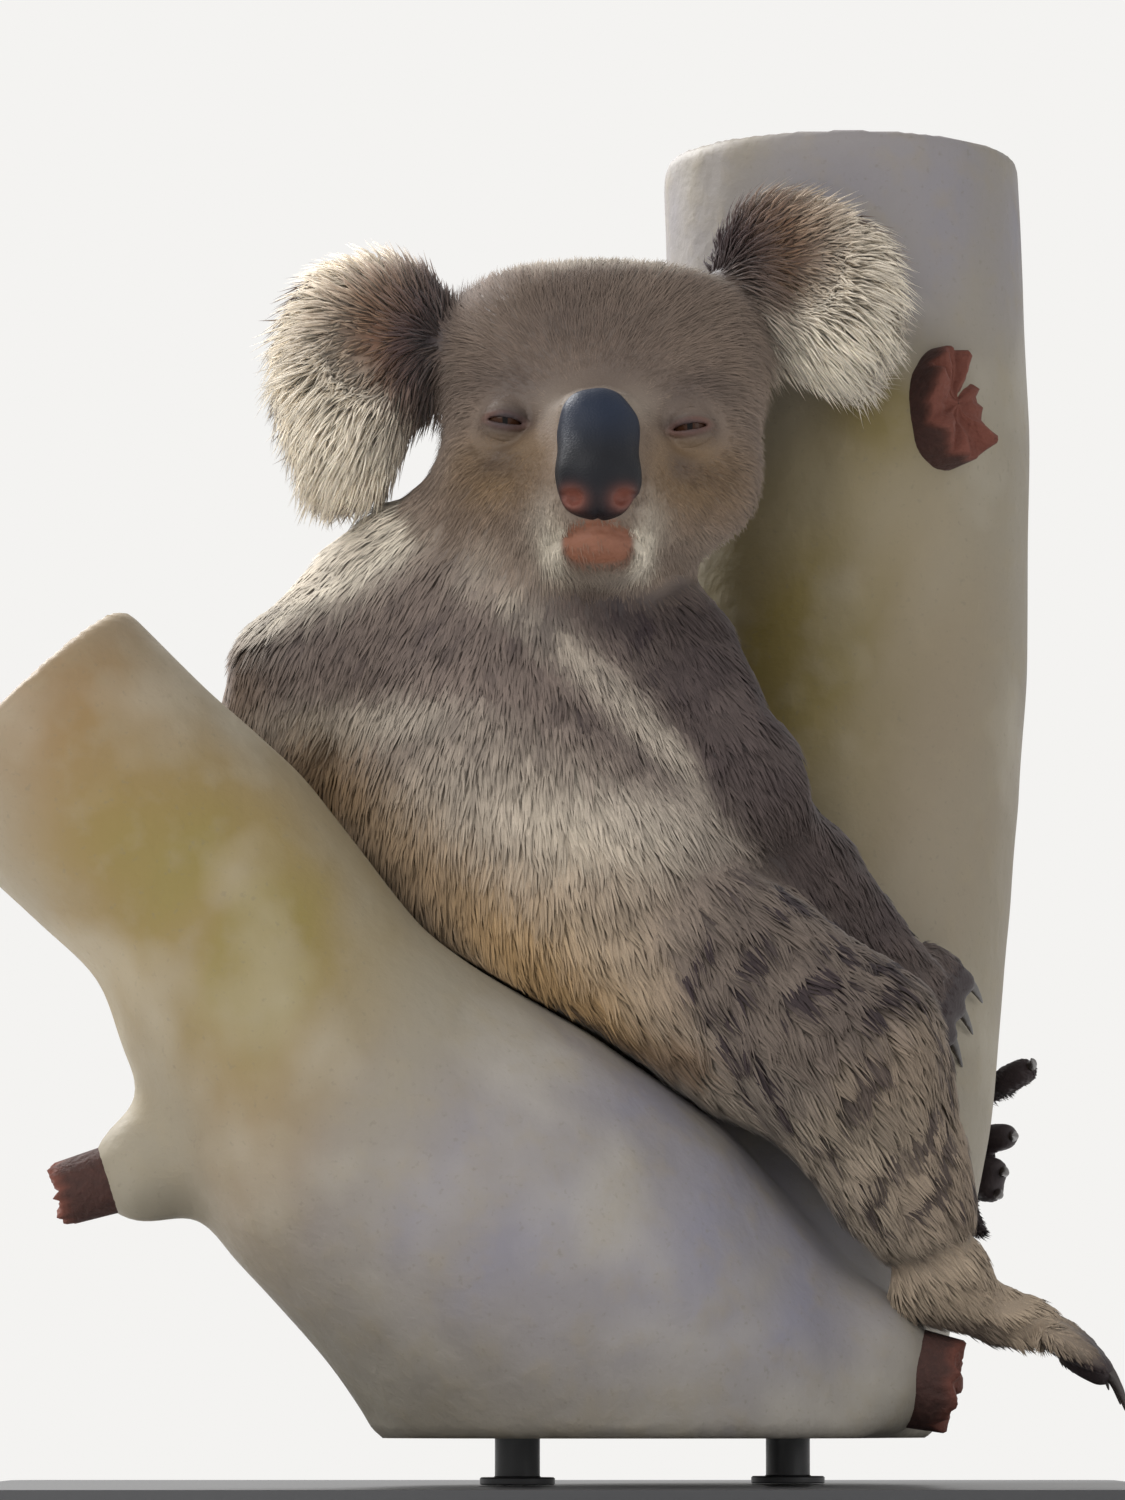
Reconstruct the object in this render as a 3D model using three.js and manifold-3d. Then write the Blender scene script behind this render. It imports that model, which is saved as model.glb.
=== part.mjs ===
// A koala reclining in the fork of a smooth-barked gum tree, life size, on a flat display stand.
// Millimetres, +Z up. The koala faces -Y and its own right side is at -X.
// The origin is the centre of the underside of the stand's base.
// Flesh sizes are taken out to the tips of the coat, so a skin lies inside these solids.

import * as THREE from "three";
import { mergeVertices } from "three/addons/utils/BufferGeometryUtils.js";
import Module from "manifold-3d";

const wasm = await Module();
wasm.setup();

const v = (x, y, z) => new THREE.Vector3(x, y, z);

// ---------------------------------------------------------------- driving dimensions

const GAP = 0.3;            // clearance between neighbouring solids
const CLEARED = 0.42;       // how far a neighbour is grown before it cuts, so the gap is kept
const WELD = 0.004;         // corners closer than this are one corner
const BODY_CELL = 24.3;     // facet size of trunk, arms and legs
const HEAD_CELL = 16;       // facet size of head and ears
const PAW_CELL = 16;        // facet size of palms and soles
const NOSE_CELL = 9;        // facet size of the nose
const WOOD_SIDES = 18;      // facets around the perch

// How softly the rounded masses of each part flow together.
const SOFTNESS = { skin: 26, head: 22, trunk: 20, ear: 14, spine: 12, fringe: 12, nose: 9, limb: 8, paw: 6 };

// Skull, temples and cheeks are pairs, a distance out to each side of the middle of the head.
const HEAD_CENTRE = v(17, -18, 468);
const SKULL = { out: 26, at: v(0, 2, 3), half: v(40, 50, 48) };
const CHEEKS = { out: 31, at: v(0, -28, -38), half: v(35, 34, 34) };
const CROWN = { at: v(0, 4, 8), half: v(44, 50, 48) };
const TEMPLES = { out: 39, at: v(0, 6, 21), half: v(22, 36, 26) };
const MUZZLE = { from: v(15, -50, 432), to: v(14, -76, 424), girths: [36, 27] };
const CHIN = { from: v(15, -40, 412), to: v(14, -72, 402), girths: [24, 18] };
const NAPE = { from: v(14, 0, 450), to: v(-4, 6, 404), girths: [50, 52] };
const NOSE_BRIDGE = { at: v(14, -93, 441.5), half: v(17.5, 13, 18.5) };
const NOSE_TIP = { at: v(14, -102, 420.5), half: v(18.5, 13, 18.5) };
const NECK_TOP = v(10, 0, 412);
const NECK_FOOT = v(-8, 4, 386);
const NECK_HEADING = v(0.25, -0.5, 1);
const HEAD_OVERLAP = 3;     // how far below its cut the head still clears the arms

const SPINE = [
  { at: v(0, 2, 420), girth: 45 },
  { at: v(-16, 4, 376), girth: 64 },
  { at: v(-20, 2, 346), girth: 77 },
  { at: v(-13, -14, 300), girth: 82 },
  { at: v(13, -32, 258), girth: 74 },
];
const SHOULDERS = [{ at: v(-58, 2, 384), girth: 44 }, { at: v(20, 0, 370), girth: 34 }];

// Each ear is a root at the head, a broad blade and a hanging fringe.
const EARS = {
  right: {
    root: { at: v(-66, -8, 495), half: v(28, 20, 30) },
    blade: { at: v(-84, -8, 492), half: v(31, 21, 38) },
    fringe: [{ at: v(-86, -10, 472), girth: 33 }, { at: v(-87, -10, 446), girth: 24 }],
  },
  left: {
    root: { at: v(84, -4, 517), half: v(28, 19, 39) },
    blade: { at: v(100, -4, 521), half: v(36, 21, 35) },
    fringe: [{ at: v(112, -4, 508), girth: 25 }, { at: v(112, -4, 488), girth: 18 }],
  },
};

const EYE_RADIUS = 8.5;
const EYE_SIDES = 8;
const EYE_RINGS = 5;
const EYE_SINK = 4.5;       // how far the centre of an eye lies behind the coat around it
const EYE_PLACES = { right: { x: -23, z: 449 }, left: { x: 51, z: 446 } };

const ARMS = {
  right: {
    shoulder: { at: v(-62, -2, 376), girth: 50 },
    elbow: { at: v(-104, -20, 348), girth: 35 },
    wrist: { at: v(-136, 6, 268), girth: 24 },
    palm: { at: v(-149, 1, 247), girth: 18 },
    knuckles: { at: v(-158, -12, 237), spread: v(24, 5, -25) },
    fingertips: { at: v(-166, -30, 226), spread: v(32, 7, -30) },
    curl: v(0.3, -0.8, 0.5).normalize(),
  },
  left: {
    shoulder: { at: v(31, -18, 372), girth: 36 },
    elbow: { at: v(75, -57, 303), girth: 26 },
    wrist: { at: v(128, -20, 237), girth: 20 },
    palm: { at: v(141, -10, 227), girth: 16 },
    knuckles: { at: v(150, -1, 219), spread: v(13, 12, 38) },
    fingertips: { at: v(157, 10, 206), spread: v(17, 18, 50) },
    curl: v(0.1, 0.9, -0.4).normalize(),
  },
};

const LEGS = {
  right: {
    hip: { at: v(26, -46, 244), girth: 57 },
    knee: { at: v(113, -74, 193), girth: 43 },
    ankle: { at: v(150, -65, 108), girth: 24 },
    heel: { at: v(140, -63, 99), girth: 17 },
    ball: { at: v(186, -63, 88), girth: 14 },
    toeTips: { at: v(211, -63, 75), spread: v(-4, 38, 9) },
    curl: v(-0.2, 0, -1).normalize(),
  },
  left: {
    hip: { at: v(18, 18, 242), girth: 52 },
    knee: { at: v(-14, 118, 226), girth: 38 },
    ankle: { at: v(92, 185, 184), girth: 25 },
    heel: { at: v(84, 187, 176), girth: 17 },
    ball: { at: v(162, 150, 172), girth: 15 },
    toeTips: { at: v(190, 102, 172), spread: v(14, 4, 52) },
    curl: v(-0.75, -0.65, 0).normalize(),
  },
};

// Seats of the digits across a paw: two thumbs stand off from three fingers, and a
// great toe without a claw stands off from a fused pair and two more toes.
const FINGERS = { seats: [0, 0.2, 0.55, 0.78, 1], girth: 7.5, heel: 6, clawless: 0 };
const TOES = { seats: [-0.35, 0, 0.17, 0.45, 1], girth: 8, clawless: 1 };
const ANKLE_CUFF = 14;      // how far above the ankle the foot begins
const WRIST_CUFF = 6;       // how far above the wrist the hand begins
const DIGIT_RINGS = 3;
const DIGIT_SIDES = 6;
const DIGIT_ROUNDING = 0.8; // share of a digit's length at which its tip starts to round off
const TIP_GIRTH = 0.6;      // girth of a digit's very end, as a share of its own

// Shares of the knuckles' spread, or the toe tips', over which the digits start and bend.
const FINGER_ROOTS = 0.7;
const TOE_ROOTS = 0.5;
const TOE_KNUCKLES = { spread: 0.8, along: 0.6, rise: 4 };

const CLAW_LENGTH = 17;
const CLAW_GIRTH = 3.6;
const CLAW_POINT = 0.15;    // girth of a claw's point, as a share of its root's
const CLAW_BEND = { straight: 0.6, ahead: 0.3, down: 0.45 }; // shares of a claw's length
const CLAW_RINGS = 3;
const CLAW_SIDES = 5;

const TRUNK_LINE = [
  { at: v(117, 105, 650), girth: 77 },
  { at: v(123, 102, 442), girth: 78 },
  { at: v(117, 97, 312), girth: 78 },
  { at: v(108, 86, 226), girth: 78 },
  { at: v(96, 62, 154), girth: 80 },
  { at: v(73, 25, 79), girth: 84 },
  { at: v(60, 5, 10), girth: 86 },
];
const LIMB_LINE = [
  { at: v(-260, -85, 378), girth: 58 },
  { at: v(-181, -85, 298), girth: 58 },
  { at: v(-130, -80, 249), girth: 58 },
  { at: v(-98, -75, 188), girth: 72 },
  { at: v(-28, -60, 127), girth: 88 },
  { at: v(8, -45, 91), girth: 97 },
  { at: v(60, -22, 20), girth: 100 },
];
const TRUNK_TOP = 588;                      // height of the upper saw cut
const LIMB_END = v(-211, -85, 334);         // middle of the saw cut on the side limb
const PERCH_FOOT = 43;                      // height of the lower saw cut
const FORK_CUT = v(104, 76, 205);           // where the trunk solid meets the fork solid
const TRUNK_HEADING = v(0.03, 0.07, 1);       // the way the trunk runs where it leaves the fork
const BRANCH_REACH = 200;                   // width of the cutting block around one branch
const BLOCK = 900;                          // a cutting block that reaches past the whole object
const TRUNK_RINGS = 7;
const LIMB_RINGS = 9;
const LIMB_CUT = v(-98, -75, 200);          // where the side limb solid meets the fork solid

const STUBS = {
  low: { from: v(122, -56, 70), to: v(160, -62, 62), girths: [21, 19] },
  left: { from: v(-140, -78, 156), to: v(-203, -80, 137), girths: [16, 13] },
  high: { from: v(140, 50, 466), to: v(168, 24, 472), girths: [21, 17] },
};
const STUB_SIDES = 10;

const BASE_SIZE = v(480, 400, 24);
const BASE_CORNER = 14;
const CORNER_STEPS = 4;
const ROD_RADIUS = 9;
const ROD_SIDES = 12;
const RODS = [{ x: -18, y: -40 }, { x: 92, y: 18 }];

// ---------------------------------------------------------------- rounded fields

// A field is a signed distance and the box that holds its surface.

function capsule(a, b, girthA, girthB) {
  const along = b.clone().sub(a);
  const lengthSquared = along.lengthSq();
  const offset = new THREE.Vector3();
  const reach = Math.max(girthA, girthB);
  const box = new THREE.Box3().setFromPoints([a, b]).expandByScalar(reach);
  const distance = (p) => {
    offset.subVectors(p, a);
    const t = THREE.MathUtils.clamp(offset.dot(along) / lengthSquared, 0, 1);
    offset.addScaledVector(along, -t);
    return offset.length() - THREE.MathUtils.lerp(girthA, girthB, t);
  };
  return { distance, box };
}

function ellipsoid(centre, half) {
  const offset = new THREE.Vector3();
  const scaled = new THREE.Vector3();
  const reach = Math.max(half.x, half.y, half.z);
  const box = new THREE.Box3().setFromPoints([centre]).expandByScalar(reach);
  const distance = (p) => {
    offset.subVectors(p, centre).divide(half);
    scaled.copy(offset).divide(half);
    const near = offset.length();
    return near === 0 ? -Math.min(half.x, half.y, half.z) : (near * (near - 1)) / scaled.length();
  };
  return { distance, box };
}

// The smooth union of several fields.
function blend(softness, fields) {
  const box = fields.reduce((all, field) => all.union(field.box), new THREE.Box3());
  const distance = (p) => {
    let d = Infinity;
    for (const field of fields) {
      const e = field.distance(p);
      const h = Math.max(softness - Math.abs(d - e), 0);
      d = Math.min(d, e) - (Number.isFinite(h) ? (h * h) / (4 * softness) : 0);
    }
    return d;
  };
  return { distance, box };
}

function chain(stations, softness) {
  const links = stations.slice(1).map((next, i) => {
    const last = stations[i];
    return capsule(last.at, next.at, last.girth, next.girth);
  });
  return blend(softness, links);
}

// ---------------------------------------------------------------- closed facets from a field

const CORNERS = [0, 1, 2, 3, 4, 5, 6, 7].map((i) => [i & 1, (i >> 1) & 1, i >> 2]);
const EDGES = [
  [0, 1], [2, 3], [4, 5], [6, 7], [0, 2], [1, 3], [4, 6], [5, 7], [0, 4], [1, 5], [2, 6], [3, 7],
];

function slopeOf(field, p, step) {
  const slope = new THREE.Vector3();
  for (const axis of ["x", "y", "z"]) {
    const ahead = p.clone();
    const behind = p.clone();
    ahead[axis] += step;
    behind[axis] -= step;
    slope[axis] = (field.distance(ahead) - field.distance(behind)) / (2 * step);
  }
  return slope;
}

function settle(field, p, cell) {
  for (let pass = 0; pass < 3; pass += 1) {
    const slope = slopeOf(field, p, cell * 0.05);
    const move = THREE.MathUtils.clamp(field.distance(p), -cell * 0.3, cell * 0.3);
    p.addScaledVector(slope, -move / Math.max(slope.lengthSq(), 0.25));
  }
}

// One vertex in each cell that the surface crosses, one quad around each crossed grid edge.
function facets(field, cell) {
  const low = field.box.min.clone().subScalar(cell * 2.2);
  const size = field.box.max.clone().sub(low).addScalar(cell * 2.2).divideScalar(cell).ceil();
  const [nx, ny, nz] = [size.x + 1, size.y + 1, size.z + 1];
  const index = (i, j, k) => i + nx * (j + ny * k);
  const point = (i, j, k) => v(low.x + i * cell, low.y + j * cell, low.z + k * cell);
  const value = new Float64Array(nx * ny * nz);
  for (let k = 0; k < nz; k += 1) {
    for (let j = 0; j < ny; j += 1) {
      for (let i = 0; i < nx; i += 1) value[index(i, j, k)] = field.distance(point(i, j, k));
    }
  }
  const vertexOf = new Int32Array(nx * ny * nz).fill(-1);
  const positions = [];
  for (let k = 0; k < nz - 1; k += 1) {
    for (let j = 0; j < ny - 1; j += 1) {
      for (let i = 0; i < nx - 1; i += 1) {
        const sum = new THREE.Vector3();
        let crossings = 0;
        for (const [a, b] of EDGES) {
          const [ca, cb] = [CORNERS[a], CORNERS[b]];
          const va = value[index(i + ca[0], j + ca[1], k + ca[2])];
          const vb = value[index(i + cb[0], j + cb[1], k + cb[2])];
          if (va < 0 === vb < 0) continue;
          const pa = point(i + ca[0], j + ca[1], k + ca[2]);
          const pb = point(i + cb[0], j + cb[1], k + cb[2]);
          sum.add(pa.lerp(pb, va / (va - vb)));
          crossings += 1;
        }
        if (crossings === 0) continue;
        sum.divideScalar(crossings);
        settle(field, sum, cell);
        vertexOf[index(i, j, k)] = positions.length / 3;
        positions.push(sum.x, sum.y, sum.z);
      }
    }
  }
  const triangles = [];
  const quad = (inside, a, b, c, d) => {
    const [p, q, r, s] = inside ? [a, b, c, d] : [a, d, c, b];
    triangles.push(p, q, r, p, r, s);
  };
  for (let k = 1; k < nz - 1; k += 1) {
    for (let j = 1; j < ny - 1; j += 1) {
      for (let i = 1; i < nx - 1; i += 1) {
        const inside = value[index(i, j, k)] < 0;
        const cellAt = (di, dj, dk) => vertexOf[index(i - di, j - dj, k - dk)];
        if (inside !== value[index(i + 1, j, k)] < 0) {
          quad(inside, cellAt(0, 1, 1), cellAt(0, 0, 1), cellAt(0, 0, 0), cellAt(0, 1, 0));
        }
        if (inside !== value[index(i, j + 1, k)] < 0) {
          quad(inside, cellAt(1, 0, 1), cellAt(1, 0, 0), cellAt(0, 0, 0), cellAt(0, 0, 1));
        }
        if (inside !== value[index(i, j, k + 1)] < 0) {
          quad(inside, cellAt(1, 1, 0), cellAt(0, 1, 0), cellAt(0, 0, 0), cellAt(1, 0, 0));
        }
      }
    }
  }
  const geometry = new THREE.BufferGeometry();
  geometry.setAttribute("position", new THREE.Float32BufferAttribute(positions, 3));
  geometry.setIndex(triangles);
  return geometry;
}

// ---------------------------------------------------------------- closed tubes along a curve

// The share of its girth that a digit keeps, t of the way along it.
function roundEnd(t) {
  const ahead = Math.max(0, (t - DIGIT_ROUNDING) / (1 - DIGIT_ROUNDING));
  return Math.sqrt(1 - (1 - TIP_GIRTH ** 2) * ahead ** 2);
}

function loft(curve, girthAt, rings, sides) {
  const { normals, binormals } = curve.computeFrenetFrames(rings, false);
  const positions = [];
  const triangles = [];
  const put = (p) => positions.push(p.x, p.y, p.z);
  for (let r = 0; r <= rings; r += 1) {
    const middle = curve.getPointAt(r / rings);
    for (let s = 0; s < sides; s += 1) {
      const angle = (2 * Math.PI * s) / sides;
      put(middle.clone()
        .addScaledVector(normals[r], girthAt(r / rings) * Math.cos(angle))
        .addScaledVector(binormals[r], girthAt(r / rings) * Math.sin(angle)));
    }
  }
  put(curve.getPointAt(0));
  put(curve.getPointAt(1));
  const first = (rings + 1) * sides;
  for (let s = 0; s < sides; s += 1) {
    const next = (s + 1) % sides;
    triangles.push(first, next, s);
    for (let r = 0; r < rings; r += 1) {
      const [a, b] = [r * sides + s, r * sides + next];
      triangles.push(a, b, a + sides, b, b + sides, a + sides);
    }
    triangles.push(rings * sides + s, rings * sides + next, first + 1);
  }
  const geometry = new THREE.BufferGeometry();
  geometry.setAttribute("position", new THREE.Float32BufferAttribute(positions, 3));
  geometry.setIndex(triangles);
  return solid(geometry);
}

// ---------------------------------------------------------------- joining and cutting

function solid(geometry) {
  let bare = geometry;
  if (geometry.attributes.normal) {
    bare = geometry.clone();
    bare.deleteAttribute("normal");
    bare.deleteAttribute("uv");
    bare = mergeVertices(bare, 1e-3);
  }
  const mesh = new wasm.Mesh({
    numProp: 3,
    vertProperties: Float32Array.from(bare.attributes.position.array),
    triVerts: Uint32Array.from(bare.index.array),
  });
  return new wasm.Manifold(mesh);
}

function geometryOf(body) {
  const mesh = body.getMesh();
  const geometry = new THREE.BufferGeometry();
  const positions = new Float32Array(mesh.numVert * 3);
  for (let i = 0; i < mesh.numVert; i += 1) {
    for (let axis = 0; axis < 3; axis += 1) {
      positions[3 * i + axis] = mesh.vertProperties[i * mesh.numProp + axis];
    }
  }
  geometry.setAttribute("position", new THREE.BufferAttribute(positions, 3));
  geometry.setIndex(new THREE.BufferAttribute(Uint32Array.from(mesh.triVerts), 1));
  const tidy = welded(geometry);
  tidy.computeVertexNormals();
  return tidy;
}

// Corners closer than the weld are joined, and the slivers between them dropped.
function welded(geometry) {
  const merged = mergeVertices(geometry, WELD);
  const corners = merged.index.array;
  const kept = [];
  for (let i = 0; i < corners.length; i += 3) {
    const [a, b, c] = corners.slice(i, i + 3);
    if (a !== b && b !== c && c !== a) kept.push(a, b, c);
  }
  merged.setIndex(kept);
  return merged;
}

// The same solid with its surface moved out by the gap, to cut its neighbours clear of it.
function grown(body) {
  const geometry = geometryOf(body);
  const { position, normal } = geometry.attributes;
  for (let i = 0; i < position.count; i += 1) {
    position.setXYZ(
      i,
      position.getX(i) + CLEARED * normal.getX(i),
      position.getY(i) + CLEARED * normal.getY(i),
      position.getZ(i) + CLEARED * normal.getZ(i),
    );
  }
  geometry.deleteAttribute("normal");
  return solid(geometry);
}

// A square block that starts on the plane through a point and runs the way the normal points.
function beyond(point, normal, width = BLOCK) {
  const block = new THREE.BoxGeometry(width, width, BLOCK);
  block.translate(0, 0, (BLOCK + GAP) / 2);
  block.applyQuaternion(new THREE.Quaternion().setFromUnitVectors(v(0, 0, 1), normal.clone().normalize()));
  block.translate(point.x, point.y, point.z);
  return solid(block);
}

// What lies before and beyond a plane; a width keeps the cut to one branch of a forked body.
function split(body, point, normal, width) {
  const heading = normal.clone().normalize();
  const start = point.clone().addScaledVector(heading, -GAP);
  return [body.subtract(beyond(start, heading, width)), body.intersect(beyond(point, heading, width))];
}

// A body cut clear of its neighbours, without the crumbs that a shallow cut leaves.
function cutClear(body, neighbours) {
  const cut = neighbours.reduce((rest, neighbour) => rest.subtract(grown(neighbour)), body);
  return cut.decompose().reduce((main, piece) => (piece.volume() > main.volume() ? piece : main));
}

// ---------------------------------------------------------------- the koala's fields

// A pair of ellipsoids, one to each side of the middle of the head.
function headPair({ out, at, half }) {
  return [-out, out].map((x) => ellipsoid(HEAD_CENTRE.clone().add(at).add(v(x, 0, 0)), half));
}

function headField() {
  const crown = ellipsoid(HEAD_CENTRE.clone().add(CROWN.at), CROWN.half);
  const rods = [MUZZLE, CHIN, NAPE].map(({ from, to, girths }) => capsule(from, to, ...girths));
  const pairs = [SKULL, TEMPLES, CHEEKS].flatMap(headPair);
  return blend(SOFTNESS.head, [crown, ...pairs, ...rods]);
}

function trunkField() {
  return blend(SOFTNESS.trunk, [chain(SPINE, SOFTNESS.spine), chain(SHOULDERS, SOFTNESS.spine)]);
}

function earField({ root, blade, fringe }) {
  const pads = [root, blade].map(({ at, half }) => ellipsoid(at, half));
  return blend(SOFTNESS.ear, [...pads, chain(fringe, SOFTNESS.fringe)]);
}

function noseField() {
  return blend(SOFTNESS.nose, [NOSE_BRIDGE, NOSE_TIP].map(({ at, half }) => ellipsoid(at, half)));
}

// The point at x and z that lies a given depth behind the front of a field.
function seatOnFace(field, x, z, depth) {
  let [front, back] = [field.box.min.y - 1, HEAD_CENTRE.y];
  for (let pass = 0; pass < 30; pass += 1) {
    const middle = (front + back) / 2;
    if (field.distance(v(x, middle, z)) > -depth) front = middle;
    else back = middle;
  }
  return v(x, front, z);
}

// A fan is a middle and a spread; a seat of 0 is one edge of it and 1 is the other.
const seated = (fan, seat) => fan.at.clone().addScaledVector(fan.spread, seat - 0.5);

// A palm or sole with its digits, and a claw on each digit that has one.
function paw(stations, fans, digits, curl) {
  let body = solid(facets(chain(stations, SOFTNESS.paw), PAW_CELL));
  const claws = [];
  digits.seats.forEach((seat, i) => {
    const [root, knuckle, tip] = fans.map((fan) => seated(fan, seat));
    const line = new THREE.QuadraticBezierCurve3(root, knuckle, tip);
    const girthAt = (t) => digits.girth * roundEnd(t);
    body = body.add(loft(line, girthAt, DIGIT_RINGS, DIGIT_SIDES));
    if (i >= digits.clawless) claws.push(clawSolid(tip, line.getTangent(1), curl));
  });
  return { body, claws };
}

function handOf({ wrist, palm, knuckles, fingertips, curl }) {
  const roots = { at: palm.at, spread: knuckles.spread.clone().multiplyScalar(FINGER_ROOTS) };
  const heel = { at: knuckles.at, girth: FINGERS.heel };
  return paw([wrist, palm, heel], [roots, knuckles, fingertips], FINGERS, curl);
}

function footOf({ ankle, heel, ball, toeTips, curl }) {
  const roots = { at: ball.at, spread: toeTips.spread.clone().multiplyScalar(TOE_ROOTS) };
  const knuckles = {
    at: ball.at.clone().lerp(toeTips.at, TOE_KNUCKLES.along).addScaledVector(curl, -TOE_KNUCKLES.rise),
    spread: toeTips.spread.clone().multiplyScalar(TOE_KNUCKLES.spread),
  };
  return paw([ankle, heel, ball], [roots, knuckles, toeTips], TOES, curl);
}

// A claw is a hooked cone on the end of its digit that bends the way the digit curls.
function clawSolid(tip, heading, curl) {
  const root = tip.clone().addScaledVector(heading, GAP);
  const elbow = root.clone().addScaledVector(heading, CLAW_LENGTH * CLAW_BEND.straight);
  const point = elbow.clone()
    .addScaledVector(heading, CLAW_LENGTH * CLAW_BEND.ahead)
    .addScaledVector(curl, CLAW_LENGTH * CLAW_BEND.down);
  const line = new THREE.QuadraticBezierCurve3(root, elbow, point);
  const girthAt = (t) => CLAW_GIRTH * THREE.MathUtils.lerp(1, CLAW_POINT, t);
  return loft(line, girthAt, CLAW_RINGS, CLAW_SIDES);
}

// ---------------------------------------------------------------- the perch

function branch(stations, rings) {
  const line = new THREE.CatmullRomCurve3(stations.map((station) => station.at));
  const girthAt = (t) => {
    const place = line.getUtoTmapping(t) * (stations.length - 1);
    const last = Math.min(Math.floor(place), stations.length - 2);
    return THREE.MathUtils.lerp(stations[last].girth, stations[last + 1].girth, place - last);
  };
  return loft(line, girthAt, rings, WOOD_SIDES);
}

function perchSolids() {
  const whole = branch(TRUNK_LINE, TRUNK_RINGS).add(branch(LIMB_LINE, LIMB_RINGS));
  const limbHeading = LIMB_LINE[0].at.clone().sub(LIMB_LINE[1].at);
  const sawn = [
    beyond(v(0, 0, TRUNK_TOP), v(0, 0, 1)),
    beyond(v(0, 0, PERCH_FOOT), v(0, 0, -1)),
    beyond(LIMB_END, limbHeading),
  ].reduce((rest, block) => rest.subtract(block), whole);
  const [rest, trunk] = split(sawn, FORK_CUT, TRUNK_HEADING, BRANCH_REACH);
  const [fork, limb] = split(rest, LIMB_CUT, limbHeading, BRANCH_REACH);
  return { whole, pieces: { trunk, fork, limb } };
}

// ---------------------------------------------------------------- assembly

const FUR = new THREE.MeshStandardMaterial({ color: 0x8d8279, roughness: 0.95, metalness: 0 });
const PALE_FUR = new THREE.MeshStandardMaterial({ color: 0xc9bfae, roughness: 0.95, metalness: 0 });
const NOSE_SKIN = new THREE.MeshStandardMaterial({ color: 0x23262e, roughness: 0.45, metalness: 0 });
const EYE_GLASS = new THREE.MeshStandardMaterial({ color: 0x3a2316, roughness: 0.1, metalness: 0 });
const CLAW_HORN = new THREE.MeshStandardMaterial({ color: 0x2a2524, roughness: 0.4, metalness: 0 });
const BARK = new THREE.MeshStandardMaterial({ color: 0xc7bfae, roughness: 0.7, metalness: 0 });
const DEAD_WOOD = new THREE.MeshStandardMaterial({ color: 0x6b3b2c, roughness: 0.85, metalness: 0 });
const STAND = new THREE.MeshStandardMaterial({ color: 0x3b3a38, roughness: 0.5, metalness: 0 });

const koala = new THREE.Group();

function place(name, body, material) {
  const mesh = new THREE.Mesh(geometryOf(body), material.clone());
  mesh.name = name;
  koala.add(mesh);
}

// Pieces are laid in order, and each is cut clear of the uncut bodies laid before it.
const laid = [];

function layPerch() {
  const { whole, pieces } = perchSolids();
  for (const [name, body] of Object.entries(pieces)) place(`perch_${name}`, body, BARK);
  laid.push(whole);
  for (const [name, { from, to, girths }] of Object.entries(STUBS)) {
    const girthAt = (t) => THREE.MathUtils.lerp(...girths, t);
    const stub = loft(new THREE.LineCurve3(from, to), girthAt, 1, STUB_SIDES);
    place(`perch_stub_${name}`, cutClear(stub, laid), DEAD_WOOD);
    laid.push(stub);
  }
}

const core = blend(SOFTNESS.skin, [headField(), trunkField()]);
const wholeTrunk = solid(facets(core, BODY_CELL));
const wholeHead = solid(facets(core, HEAD_CELL));

function layTrunkAndNeck() {
  const [trunk, above] = split(wholeTrunk, NECK_FOOT, NECK_HEADING);
  const [neck] = split(above, NECK_TOP, NECK_HEADING);
  place("trunk", cutClear(trunk, laid), PALE_FUR);
  place("neck", cutClear(neck, laid), FUR);
}

function layHead() {
  const eyes = Object.entries(EYE_PLACES).map(([side, { x, z }]) => {
    const ball = new THREE.SphereGeometry(EYE_RADIUS, EYE_SIDES, EYE_RINGS);
    const at = seatOnFace(core, x, z, EYE_SINK);
    ball.translate(at.x, at.y, at.z);
    const eye = solid(ball);
    place(`eye_${side}`, eye, EYE_GLASS);
    return eye;
  });
  const nose = solid(facets(noseField(), NOSE_CELL));
  place("nose", nose, NOSE_SKIN);
  const [, head] = split(wholeHead, NECK_TOP, NECK_HEADING);
  place("head", cutClear(head, [...laid, nose, ...eyes]), FUR);
  const belowCut = NECK_TOP.clone().addScaledVector(NECK_HEADING, -HEAD_OVERLAP);
  const [, headAndCollar] = split(wholeHead, belowCut, NECK_HEADING);
  for (const [side, ear] of Object.entries(EARS)) {
    const whole = solid(facets(earField(ear), HEAD_CELL));
    place(`ear_${side}`, cutClear(whole, [...laid, wholeHead]), PALE_FUR);
  }
  laid.push(headAndCollar);
}

// An arm or leg is parted at its bend and a little above its wrist or ankle.
function layLimb(side, names, stations, end, cuffLength) {
  const [upperName, lowerName, endName] = names.map((name) => `${name}_${side}`);
  const [root, bend, wrist] = stations;
  const whole = solid(facets(chain(stations, SOFTNESS.limb), BODY_CELL));
  const upperHeading = bend.at.clone().sub(root.at).normalize();
  const lowerHeading = wrist.at.clone().sub(bend.at).normalize();
  const cuff = wrist.at.clone().addScaledVector(lowerHeading, -cuffLength);
  const [upper, rest] = split(whole, bend.at, upperHeading.clone().add(lowerHeading));
  const [lower] = split(rest, cuff, lowerHeading);
  const [, tip] = split(end.body, cuff, lowerHeading);
  place(upperName, cutClear(upper, laid), FUR);
  place(lowerName, cutClear(lower, laid), FUR);
  place(endName, cutClear(tip, laid), FUR);
  end.claws.forEach((claw, i) => {
    place(`claw_${endName}_${i + 1}`, cutClear(claw, [...laid, end.body]), CLAW_HORN);
  });
  laid.push(whole, end.body);
}

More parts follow.
